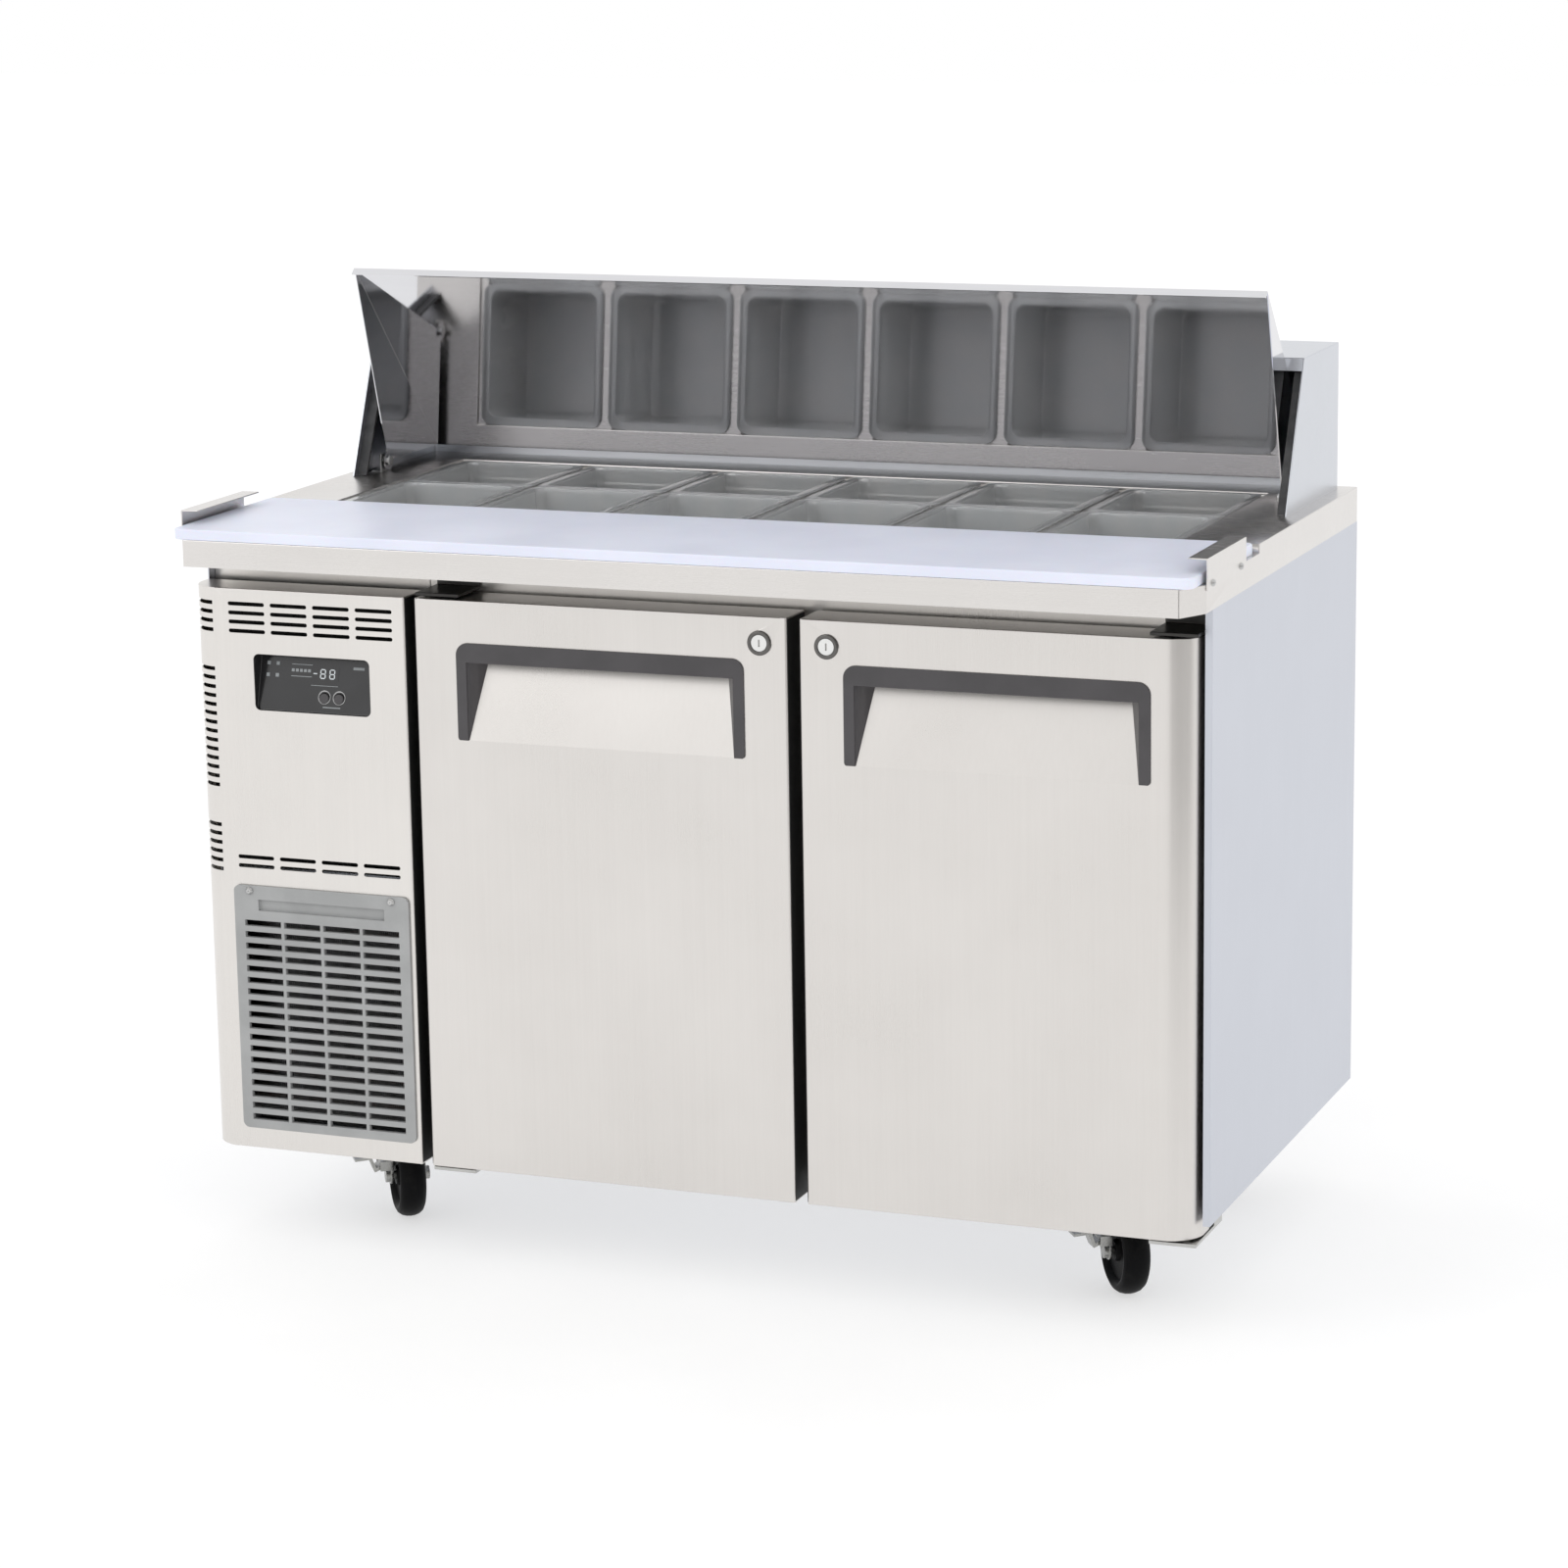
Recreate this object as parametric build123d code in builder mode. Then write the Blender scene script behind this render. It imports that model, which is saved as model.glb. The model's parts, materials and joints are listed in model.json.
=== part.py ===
from build123d import *
import os
from math import asin, atan2, cos, degrees, radians, sin, tan

os.makedirs("parts", exist_ok=True)

# Two-door sandwich prep table. +Z up, +X to the right as seen from the front, +Y to the back.
# The origin is on the floor, under the middle of the countertop.

# ---------------------------------------------------------------- driving dimensions, mm
width = 1200.0  # countertop and cabinet, left to right
depth = 669.0  # countertop front edge to cabinet back
cabinet_height = 674.0  # underside to countertop underside
top_edge_height = 40.5  # countertop apron
sheet = 1.2  # stainless sheet

top_overhang = 40.0  # countertop front edge ahead of the door faces
top_corner_x, top_corner_y = 19.0, 36.0  # cut front corners of the countertop
front_return, side_return = 16.0, 6.0  # folds along the foot of the countertop apron
opening_side_margin, opening_back_margin = 87.0, 73.0  # food pan opening to the countertop's edges
opening_lip = 2.0  # opening lip thickness, which is also the well wall
well_air_gap = 13.0  # under the pans

board_depth, board_thickness = 241.0, 12.0
board_end_gap = 5.0  # board end to cabinet side
board_sink = 10.0  # board underside below the countertop surface
board_rear_clearance = 1.0

door_thickness = 55.0
door_drop = 14.0  # door bottom below the cabinet underside
door_top_gap = 29.5  # door top to countertop underside
door_gap = 14.5  # between the doors
machine_width = 272.5  # machine compartment front panel
panel_reach = 50.0  # how far the front panel's folds reach back
panel_gap = 12.5  # panel to left door
side_reveal = 10.5  # right door to cabinet side
side_setback = 21.0  # side panel edge behind the door faces
outer_corner = 36.0  # rounded outer corners of panel and right door
small_corner = 3.0
gasket_width, gasket_thickness, gasket_clearance, gasket_inset = 12.0, 9.5, 0.5, 12.0
liner_plate = 3.0

frame_thickness = 12.0
mullion_width = 64.0
frame_seam = 0.5  # between the strips of the front frame
foam_wall = 48.0
liner_sheet = 1.0
floor_sheet = 1.5

pan_columns, pan_rows = 6, 2
pan_column_gap, pan_row_gap = 9.0, 0.6  # between the rims of neighbouring pans
pan_depth, pan_wall = 100.0, 2.0
pan_rim_thickness, pan_corner, pan_taper = 3.0, 14.0, 3.5
pan_rim_overhang = 8.0  # rim outside the pan's body
bar_width, bar_height = 20.0, 18.0  # bars between the pan columns
ledge_width, end_ledge_width, ledge_thickness = 8.0, 10.0, 2.0
seat_clearance = 0.3

hood_height = 170.0
hood_side_ledge, hood_back_setback = 20.0, 15.0  # countertop left free beside and behind the hood
hood_top_depth, hood_foot_depth = 170.5, 244.0  # side panels' front edge to the cabinet back
hood_lip = 15.0

lid_side_gap, lid_lip_gap = 17.8, 0.5  # lid to the hood's sides, and under the hood's lip
lid_front_lap = 13.4  # closed lid's free edge ahead of the pan opening
lid_tail_gap, lid_tail_height = 31.2, 14.0  # tucked rear edge to the hood's back and the countertop
lid_slope = 48.5  # degrees from horizontal when open
lid_hem = 10.0
pivot_back_margin, pivot_height = 187.2, 13.1  # lid pivot to the cabinet back and the countertop
pivot_radius, pin_clearance = 4.0, 0.06
pivot_ear = 11.0

handle_side_inset, handle_height = 50.5, 110.5
handle_bar, handle_leg, handle_corner, handle_proud = 20.5, 11.0, 14.0, 2.0
handle_top_inset = 47.5  # handle to door top
pocket_depth, pocket_slant = 26.0, 16.6  # recess behind the handle, and its slanted ends
trim_wall = 1.5
lock_inset, lock_drop = 31.5, 28.7  # lock centre from the door's free edge and top
lock_ring_radius, lock_plug_radius, lock_proud = 13.0, 9.05, 2.0

hinge_inset_x, hinge_inset_y = 16.0, 20.0  # door pivot from the door's side and face
hinge_plate, hinge_gap, hinge_pin_reach = 4.0, 2.0, 12.0
hinge_width = 53.0

grille_height, grille_thickness, grille_proud = 289.5, 6.0, 3.0
grille_left_inset, grille_right_inset = 45.0, 5.5  # grille to the panel's edges
grille_bottom_inset = 24.5  # grille to panel bottom
grille_rows, grille_columns, grille_pitch = 18, 4, 13.6
slot_height, slot_bridge = 7.0, 4.0
louvre_columns, louvre_bridge, louvre_side_margin = 4, 7.3, 23.3
louvre_height, louvre_pitch_z = 4.5, 10.4
upper_louvre_drop = 17.4  # first louvre row below the panel top
upper_rows, lower_rows = 4, 2
corner_middle_rows, corner_lower_rows = 14, 6
corner_middle_drop, corner_lower_drop = 76.4, 258.4  # below the first louvre row
lower_louvre_rise = 347.0  # top row of the lower louvres over the panel bottom

window_height, window_corner = 65.0, 7.0
window_left_inset, window_right_inset, window_top_inset = 81.0, 45.5, 74.0  # to the panel's edges
window_depth_top, window_depth_bottom = 22.0, 5.0
button_radius, button_pitch, button_clearance = 6.0, 18.5, 0.4
button_side_inset, button_rise = 53.1, 16.0  # mid-point of the pair, from the window's right foot
button_proud = 2.0

caster_inset_left, caster_inset_right = 165.0, 149.0
caster_front_margin, caster_back_margin = 87.5, 84.5  # behind the frame, and to the cabinet back
caster_turn_front, caster_turn_back = 36.0, 8.0  # degrees that the casters are swivelled
wheel_radius, wheel_width, wheel_edge = 50.0, 32.0, 11.0
caster_head = 25.5  # wheel top to cabinet underside
caster_trail, axle_radius, shaft_clearance = 30.0, 5.0, 0.05
fork_sheet, fork_gap = 3.0, 2.0
brake_reach, brake_rise, brake_pin_radius = 8.0, 16.0, 2.0  # brake pin from the fork leg and axle

fan_side_margin, fan_blades = 48.25, 5  # fan sweep to the panel's edges
screw_head_radius, screw_head_height, screw_radius, screw_clearance = 4.5, 2.4, 2.4, 0.1
bracket_screw_length = 5.0

# ---------------------------------------------------------------- places worked out from them
left, right = -width / 2, width / 2
front, back = -depth / 2, depth / 2
door_face = front + top_overhang
under = 2 * wheel_radius + caster_head
body_top = under + cabinet_height
top = body_top + top_edge_height

door_width = (width - machine_width - panel_gap - door_gap - side_reveal) / 2
door_bottom, door_top = under - door_drop, body_top - door_top_gap
panel_right = left + machine_width
left_door = (panel_right + panel_gap, panel_right + panel_gap + door_width)
right_door = (left_door[1] + door_gap, left_door[1] + door_gap + door_width)
frame_face = door_face + door_thickness + gasket_thickness + gasket_clearance
frame_back = frame_face + frame_thickness
mullion_x = (left_door[1] + right_door[0]) / 2

board_back = front + board_depth
board_bottom = top - board_sink
opening_width = width - 2 * opening_side_margin
opening_front = board_back + board_rear_clearance + opening_lip
opening_back = back - opening_back_margin
pan_seat = top - pan_rim_thickness - 1.0
well_floor = pan_seat + pan_rim_thickness - pan_depth - well_air_gap
column_pitch = opening_width / pan_columns
row_pitch = (opening_back - opening_front) / pan_rows
pan_width, pan_length = column_pitch - pan_column_gap, row_pitch - pan_row_gap
well_x = opening_width / 2 + opening_lip
well_y = (opening_front - opening_lip, opening_back + opening_lip)

cold_left = panel_right + 2.5 + foam_wall
cold_right = right - sheet - foam_wall
cold_back = back - sheet - foam_wall
cold_floor = under + floor_sheet + foam_wall
cold_ceiling = well_floor - opening_lip - foam_wall

hood_width = width - 2 * hood_side_ledge
hood_back, hood_top = back - hood_back_setback, top + hood_height
hood_top_front, hood_foot_front = back - hood_top_depth, back - hood_foot_depth
lid_width = hood_width - 2 * (sheet + lid_side_gap)
pivot_y, pivot_z = back - pivot_back_margin, top + pivot_height

machine_mid_x = (left + panel_right) / 2
louvre_pitch_x = (machine_width - outer_corner - louvre_side_margin) / louvre_columns
louvre_width = louvre_pitch_x - louvre_bridge


# ---------------------------------------------------------------- helpers
def block(x, y, z, mode=Mode.ADD):
    """A box between two limits along each axis."""
    with Locations(((x[0] + x[1]) / 2, (y[0] + y[1]) / 2, (z[0] + z[1]) / 2)):
        Box(abs(x[1] - x[0]), abs(y[1] - y[0]), abs(z[1] - z[0]), mode=mode)


def rod(start, along, radius, length, mode=Mode.ADD):
    """A round bar or hole from a point, along a direction."""
    with BuildSketch(Plane(origin=start, z_dir=along)) as section:
        Circle(radius)
    extrude(section.sketch, amount=length, mode=mode)


def profile(plane, points, amount, mode=Mode.ADD):
    """A flat outline, drawn on a plane and given a thickness."""
    with BuildSketch(plane) as outline:
        Polygon(*points, align=None)
    extrude(outline.sketch, amount=amount, mode=mode)


def plan_block(x, y, z, mode, left_radius, right_radius):
    """A box whose two front vertical corners are rounded."""
    with BuildSketch(Plane.XY.offset(z[0])) as plan:
        with Locations(((x[0] + x[1]) / 2, (y[0] + y[1]) / 2)):
            Rectangle(x[1] - x[0], y[1] - y[0])
        fillet(plan.vertices().group_by(Axis.Y)[0].sort_by(Axis.X)[0], left_radius)
        fillet(plan.vertices().group_by(Axis.Y)[0].sort_by(Axis.X)[-1], right_radius)
    extrude(plan.sketch, amount=z[1] - z[0], mode=mode)


def front_tray(x, z, reach, left_radius, right_radius):
    """A folded sheet pan that faces the front and is open at the back."""
    plan_block(x, (door_face, door_face + reach), z, Mode.ADD, left_radius, right_radius)
    inner_x = (x[0] + sheet, x[1] - sheet)
    inner_y = (door_face + sheet, door_face + reach + 1)
    inner_z = (z[0] + sheet, z[1] - sheet)
    plan_block(inner_x, inner_y, inner_z, Mode.SUBTRACT, left_radius - sheet, right_radius - sheet)


def keep(builder, name):
    """Labels a finished piece and writes it."""
    builder.part.label = name
    export_step(builder.part, f"parts/{name}.step")


# ---------------------------------------------------------------- cabinet skins
with BuildPart() as side_panel_right:
    side_front = door_face + side_setback
    block((right - sheet, right), (side_front, back), (under, body_top))
    block((right - 8, right - sheet), (side_front, side_front + sheet), (under, body_top))
keep(side_panel_right, "side_panel_right")

with BuildPart() as side_panel_left:
    block((left, left + sheet), (door_face + panel_reach + 1, back), (under, body_top))
keep(side_panel_left, "side_panel_left")

with BuildPart() as back_panel:
    block((left + sheet, right - sheet), (back - sheet, back), (under, body_top))
    with Locations(Plane.XZ.offset(-back)):
        with Locations((machine_mid_x, under + 180)):
            with GridLocations(louvre_pitch_x, 2 * louvre_pitch_z, 3, 12):
                Box(louvre_width, louvre_height * 1.5, 6 * sheet, mode=Mode.SUBTRACT)
keep(back_panel, "back_panel")

with BuildPart() as floor_pan:
    floor_z = (under, under + floor_sheet)
    block((left + sheet, right - sheet), (frame_back, back - sheet), floor_z)
    block((left + sheet, panel_right), (door_face + 60, frame_back), floor_z)
keep(floor_pan, "floor_pan")

# ---------------------------------------------------------------- insulated cold box
with BuildPart() as insulation:
    foam_y = (frame_back, back - sheet)
    cold_x = (cold_left - foam_wall, right - sheet)
    cold_z = (cold_floor, cold_ceiling)
    block(cold_x, foam_y, (under + floor_sheet, body_top))
    block((left + sheet, cold_x[0]), foam_y, (cold_ceiling, body_top))
    block((cold_left, cold_right), (frame_back, cold_back), cold_z, Mode.SUBTRACT)
    block((-well_x, well_x), well_y, (well_floor - opening_lip, body_top + 1), Mode.SUBTRACT)
keep(insulation, "insulation")

shelf_z = (cold_floor + cold_ceiling) / 2 - 10
bearer, bearer_height = 14.0, 8.0
with BuildPart() as inner_liner:
    block((cold_left, cold_right), (frame_back, cold_back), cold_z)
    block(
        (cold_left + liner_sheet, cold_right - liner_sheet),
        (frame_back - 1, cold_back - liner_sheet),
        (cold_floor + liner_sheet, cold_ceiling - liner_sheet),
        Mode.SUBTRACT,
    )
    bearer_z = (shelf_z - bearer_height, shelf_z)
    for start, end in (
        (cold_left, cold_left + bearer),
        (mullion_x - bearer, mullion_x + bearer),
        (cold_right - bearer, cold_right),
    ):
        block((start, end), (frame_back + 30, cold_back), bearer_z)
keep(inner_liner, "inner_liner")

with BuildPart() as front_frame:
    frame_y = (frame_face, frame_back)
    block((left + sheet, cold_x[0] - frame_seam), frame_y, (door_top - 8, body_top))
    for rail_z in ((under, cold_floor - frame_seam), (cold_ceiling + frame_seam, body_top)):
        block(cold_x, frame_y, rail_z)
    for stile_x in (
        (cold_x[0], cold_left),
        (mullion_x - mullion_width / 2, mullion_x + mullion_width / 2),
        (cold_right, cold_x[1]),
    ):
        block(stile_x, frame_y, cold_z)
keep(front_frame, "front_frame")

# ---------------------------------------------------------------- countertop and pan well
with BuildPart() as countertop:
    outline = [
        (left, back),
        (left, front + top_corner_y),
        (left + top_corner_x, front),
        (right - top_corner_x, front),
        (right, front + top_corner_y),
        (right, back),
    ]
    profile(Plane.XY.offset(body_top), outline, top_edge_height)
    board_zone = board_back + board_rear_clearance
    block((left - 1, right + 1), (front - 1, board_zone), (board_bottom, top + 1), Mode.SUBTRACT)
    inside = [
        (left + sheet, back - sheet),
        (left + sheet, front + top_corner_y + sheet / 2),
        (left + top_corner_x + sheet / 2, front + sheet),
        (right - top_corner_x - sheet / 2, front + sheet),
        (right - sheet, front + top_corner_y + sheet / 2),
        (right - sheet, back - sheet),
    ]
    profile(Plane.XY.offset(body_top), inside, board_bottom - sheet - body_top, Mode.SUBTRACT)
    block(
        (left + sheet, right - sheet),
        (board_zone + sheet, back - sheet),
        (body_top, top - sheet),
        Mode.SUBTRACT,
    )
    return_end = right - top_corner_x - sheet / 2
    return_y = (front + sheet, front + front_return)
    block((-return_end, return_end), return_y, (body_top, body_top + sheet))
    for side in (-1, 1):
        hem_x = (side * (right - sheet), side * (right - sheet - side_return))
        block(hem_x, (front + top_corner_y + 2, back - sheet), (body_top, body_top + sheet))
    block((-well_x, well_x), well_y, (well_floor - opening_lip, top))
    block(
        (-opening_width / 2, opening_width / 2),
        (opening_front, opening_back),
        (well_floor, top + 1),
        Mode.SUBTRACT,
    )
    for side in (-1, 1):
        end_x = (side * opening_width / 2, side * (opening_width / 2 - end_ledge_width))
        block(end_x, (opening_front, opening_back), (pan_seat - ledge_thickness, pan_seat))
    bar_foot = pan_seat - bar_height
    ledge_z = (bar_foot - ledge_thickness, bar_foot)
    for y_start, y_end in (
        (opening_front, opening_front + ledge_width),
        (opening_back - ledge_width, opening_back),
    ):
        block((-opening_width / 2, opening_width / 2), (y_start, y_end), ledge_z)
    bracket_screw_y = (door_face + 16.4, door_face + 123.6)
    bracket_screw_z = body_top + 29.5
    for side in (-1, 1):
        for y in bracket_screw_y:
            start = (side * (right + 1), y, bracket_screw_z)
            rod(start, (-side, 0, 0), screw_radius + screw_clearance, 12, Mode.SUBTRACT)
keep(countertop, "countertop")

with BuildPart() as divider_bars:
    bar_y = (opening_front + seat_clearance, opening_back - seat_clearance)
    for number in range(1, pan_columns):
        bar_x = -opening_width / 2 + number * column_pitch
        bar_limits = (bar_x - bar_width / 2, bar_x + bar_width / 2)
        block(bar_limits, bar_y, (bar_foot, pan_seat))
        hollow = (bar_limits[0] + sheet, bar_limits[1] - sheet)
        block(hollow, (bar_y[0] - 1, bar_y[1] + 1), (bar_foot - 1, pan_seat - sheet), Mode.SUBTRACT)
keep(divider_bars, "divider_bars")


# ---------------------------------------------------------------- food pans
def food_pan(center_x, center_y):
    """A sixth-size pan with tapered walls and a flat rim, seated on the bars."""
    body_width = pan_width - 2 * pan_rim_overhang
    body_length = pan_length - 2 * pan_rim_overhang
    rim_top = pan_seat + pan_rim_thickness
    rim_plane = Plane(origin=(center_x, center_y, pan_seat))
    top_plane = Plane(origin=(center_x, center_y, rim_top))
    with BuildSketch(rim_plane) as rim:
        RectangleRounded(pan_width, pan_length, pan_corner)
    extrude(rim.sketch, amount=pan_rim_thickness)
    with BuildSketch(top_plane) as outer:
        RectangleRounded(body_width, body_length, pan_corner)
    extrude(outer.sketch, amount=-pan_depth, taper=pan_taper)
    with BuildSketch(top_plane) as inner:
        RectangleRounded(body_width - 2 * pan_wall, body_length - 2 * pan_wall, pan_corner - pan_wall)
    extrude(inner.sketch, amount=-(pan_depth - pan_wall), taper=pan_taper, mode=Mode.SUBTRACT)


for row, row_name in enumerate(("front", "rear")):
    for column in range(pan_columns):
        pan_x = -opening_width / 2 + (column + 0.5) * column_pitch
        pan_y = opening_front + (row + 0.5) * row_pitch
        with BuildPart() as pan:
            food_pan(pan_x, pan_y)
        keep(pan, f"pan_{row_name}_{column + 1}")

# ---------------------------------------------------------------- cutting board and its end brackets
with BuildPart() as cutting_board:
    with BuildSketch(Plane.XY.offset(board_bottom)) as board_plan:
        with Locations((0, front + board_depth / 2)):
            RectangleRounded(width - 2 * board_end_gap, board_depth, 12)
    extrude(amount=board_thickness)
    fillet(cutting_board.edges().group_by(Axis.Z)[-1], 2)
    fillet(cutting_board.edges().group_by(Axis.Z)[0], 1)
keep(cutting_board, "cutting_board")

bracket_y = (door_face - 4, door_face + 144)
bracket_z = (body_top + 24.0, body_top + 58.0)
bracket_sheet = 1.5
with BuildPart() as board_brackets:
    block((right, right + bracket_sheet), bracket_y, bracket_z)
    top_flange = (bracket_z[1] - bracket_sheet, bracket_z[1])
    block((right - 20, right), bracket_y, top_flange)
    for y in bracket_screw_y:
        start = (right - 1, y, bracket_screw_z)
        rod(start, (1, 0, 0), screw_radius + screw_clearance, 5, Mode.SUBTRACT)
    mirror(about=Plane.YZ)
keep(board_brackets, "board_brackets")

# ---------------------------------------------------------------- rear hood
with BuildPart() as hood_housing:
    side_profile = [
        (hood_foot_front, top),
        (hood_back, top),
        (hood_back, hood_top),
        (hood_top_front, hood_top),
    ]
    profile(Plane.YZ.offset(-hood_width / 2), side_profile, hood_width)
    block(
        (-hood_width / 2 + sheet, hood_width / 2 - sheet),
        (hood_foot_front - 1, hood_back - sheet),
        (top - 1, hood_top - sheet),
        Mode.SUBTRACT,
    )
    lip_x = (-hood_width / 2 + sheet, hood_width / 2 - sheet)
    lip_z = (hood_top - hood_lip, hood_top - sheet)
    block(lip_x, (hood_top_front, hood_top_front + sheet), lip_z)
keep(hood_housing, "hood_housing")

# ---------------------------------------------------------------- lid
down = (cos(radians(lid_slope)), -sin(radians(lid_slope)))
inward = (-sin(radians(lid_slope)), -cos(radians(lid_slope)))
# The open plate just clears the hood's lip, and its free edge swings down ahead of the opening.
lip_point = (hood_top_front - pivot_y, hood_top - hood_lip - lid_lip_gap - pivot_z)
plate_offset = -lip_point[0] * inward[0] - lip_point[1] * inward[1]
lid_reach = pivot_y - opening_front + lid_front_lap
edge_angle = radians(lid_slope) + asin(plate_offset / lid_reach)
lid_edge = (pivot_y - lid_reach * cos(edge_angle), pivot_z + lid_reach * sin(edge_angle))
length_to_back = (hood_back - lid_tail_gap - lid_edge[0]) / down[0]
length_to_top = (top + lid_tail_height - lid_edge[1]) / down[1]
plate_length = min(length_to_back, length_to_top)


def lid_point(along, inwards=0.0):
    """A point of the open lid's cross-section, from its free edge."""
    return (
        lid_edge[0] + along * down[0] + inwards * inward[0],
        lid_edge[1] + along * down[1] + inwards * inward[1],
    )


with BuildPart() as lid_shell:
    plate = [lid_point(0), lid_point(plate_length), lid_point(plate_length, sheet), lid_point(0, sheet)]
    profile(Plane.YZ.offset(-lid_width / 2), plate, lid_width)
    hem_outline = [lid_point(0), lid_point(sheet), lid_point(sheet, lid_hem), lid_point(0, lid_hem)]
    profile(Plane.YZ.offset(-lid_width / 2), hem_outline, lid_width)
    for end_plane in (Plane.YZ.offset(-lid_width / 2), Plane.YZ.offset(lid_width / 2 - sheet)):
        with BuildSketch(end_plane) as end_panel:
            Polygon(lid_point(0), lid_point(plate_length), (pivot_y, pivot_z), align=None)
            with Locations((pivot_y, pivot_z)):
                Circle(pivot_ear)
                Circle(pivot_radius + pin_clearance, mode=Mode.SUBTRACT)
        extrude(amount=sheet)
keep(lid_shell, "lid_shell")

with BuildPart() as lid_hinge_brackets:
    upright_x = lid_width / 2 + 2
    block((upright_x, upright_x + 2), (pivot_y - 14, pivot_y + 14), (top, pivot_z + 9))
    block((upright_x, upright_x + 13), (pivot_y - 14, pivot_y + 14), (top, top + 2))
    rod((lid_width / 2 - 4, pivot_y, pivot_z), (1, 0, 0), pivot_radius, 7)
    rod((lid_width / 2 - 5, pivot_y, pivot_z), (1, 0, 0), pivot_radius + 2, 2)
    mirror(about=Plane.YZ)
keep(lid_hinge_brackets, "lid_hinge_brackets")

# ---------------------------------------------------------------- machine compartment front panel
flat_center = (left + outer_corner + panel_right) / 2
grille_x = (left + grille_left_inset, panel_right - grille_right_inset)
grille_z = (door_bottom + grille_bottom_inset, door_bottom + grille_bottom_inset + grille_height)
grille_center = ((grille_x[0] + grille_x[1]) / 2, (grille_z[0] + grille_z[1]) / 2)
grille_width = grille_x[1] - grille_x[0]
grille_margin = 4.0
window_x = (left + window_left_inset, panel_right - window_right_inset)
window_z = (door_top - window_top_inset - window_height, door_top - window_top_inset)
window_width = window_x[1] - window_x[0]
upper_louvre_z = door_top - upper_louvre_drop
lower_louvre_z = door_bottom + lower_louvre_rise
grille_screw_x = (grille_x[0] + 20.5, grille_x[1] - 21.5)
grille_screw_z = grille_z[1] - 6.0

with BuildPart() as machine_panel:
    front_tray((left, panel_right), (door_bottom, door_top), panel_reach, outer_corner, small_corner)
    with BuildSketch(Plane.XZ.offset(-door_face - sheet * 2)) as front_holes:
        with Locations(((window_x[0] + window_x[1]) / 2, (window_z[0] + window_z[1]) / 2)):
            RectangleRounded(window_width, window_height, window_corner)
        with Locations(grille_center):
            RectangleRounded(grille_width - 2 * grille_margin, grille_height - 2 * grille_margin, 8)
        for rows, first_z in ((upper_rows, upper_louvre_z), (lower_rows, lower_louvre_z)):
            with Locations((flat_center, first_z - (rows - 1) * louvre_pitch_z / 2)):
                with GridLocations(louvre_pitch_x, louvre_pitch_z, louvre_columns, rows):
                    SlotOverall(louvre_width, louvre_height)
    extrude(amount=sheet * 4, mode=Mode.SUBTRACT)
    for x in grille_screw_x:
        start = (x, door_face - 1, grille_screw_z)
        rod(start, (0, 1, 0), screw_radius + screw_clearance, 4, Mode.SUBTRACT)
    corner_middle = (left + outer_corner, door_face + outer_corner)
    for rows, first_z in (
        (upper_rows, upper_louvre_z),
        (corner_middle_rows, upper_louvre_z - corner_middle_drop),
        (corner_lower_rows, upper_louvre_z - corner_lower_drop),
    ):
        for number in range(rows):
            slot_z = first_z - number * louvre_pitch_z
            slot_plane = Plane(origin=(*corner_middle, slot_z), x_dir=(1, -1, 0), z_dir=(0, 0, 1))
            with Locations(slot_plane):
                with Locations((0, -outer_corner, 0)):
                    Box(44, 30, louvre_height, mode=Mode.SUBTRACT)
keep(machine_panel, "machine_panel")

with BuildPart() as intake_grille:
    grille_face = door_face - grille_proud
    with BuildSketch(Plane.XZ.offset(-grille_face)) as grille_outline:
        with Locations(grille_center):
            RectangleRounded(grille_width, grille_height, 8)
    extrude(amount=-grille_proud)
    with BuildSketch(Plane.XZ.offset(-door_face)) as grille_body:
        with Locations(grille_center):
            inset = 2 * grille_margin + 1
            RectangleRounded(grille_width - inset, grille_height - inset, 7.5)
    extrude(amount=-(grille_thickness - grille_proud))
    slot_field = grille_width - 22
    slot_width = slot_field / grille_columns - slot_bridge
    with BuildSketch(Plane.XZ.offset(-grille_face)) as grille_slots:
        slot_mid_z = grille_z[0] + 14 + (grille_rows - 1) * grille_pitch / 2
        with Locations((grille_center[0], slot_mid_z)):
            with GridLocations(slot_field / grille_columns, grille_pitch, grille_columns, grille_rows):
                Rectangle(slot_width, slot_height)
    extrude(amount=-grille_thickness, mode=Mode.SUBTRACT)
    pull_z = (grille_z[1] - 29, grille_z[1] - 16)
    block((grille_x[0] + 31, grille_x[1] - 31), (grille_face, grille_face + 4.5), pull_z, Mode.SUBTRACT)
    for x in grille_screw_x:
        start = (x, grille_face - 1, grille_screw_z)
        rod(start, (0, 1, 0), screw_radius + screw_clearance, 10, Mode.SUBTRACT)
keep(intake_grille, "intake_grille")

with BuildPart() as panel_screws:
    for side in (-1, 1):
        for y in bracket_screw_y:
            seat_x = side * (right + bracket_sheet)
            rod((seat_x, y, bracket_screw_z), (side, 0, 0), screw_head_radius, screw_head_height)
            rod((seat_x, y, bracket_screw_z), (-side, 0, 0), screw_radius, bracket_screw_length)
    for x in grille_screw_x:
        rod((x, grille_face, grille_screw_z), (0, -1, 0), screw_head_radius, screw_head_height)
        rod((x, grille_face, grille_screw_z), (0, 1, 0), screw_radius, grille_thickness)
keep(panel_screws, "panel_screws")

# ---------------------------------------------------------------- control
face_rise = window_depth_top - window_depth_bottom
face_tilt = degrees(atan2(face_rise, window_height))
housing_depth = window_depth_top + 6.0
housing_rim = 6.0
button_z = window_z[0] + button_rise
button_x = window_x[1] - button_side_inset


def face_y(z):
    """How far back the tilted control face is at a height."""
    return door_face + window_depth_bottom + (z - window_z[0]) / window_height * face_rise


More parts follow.
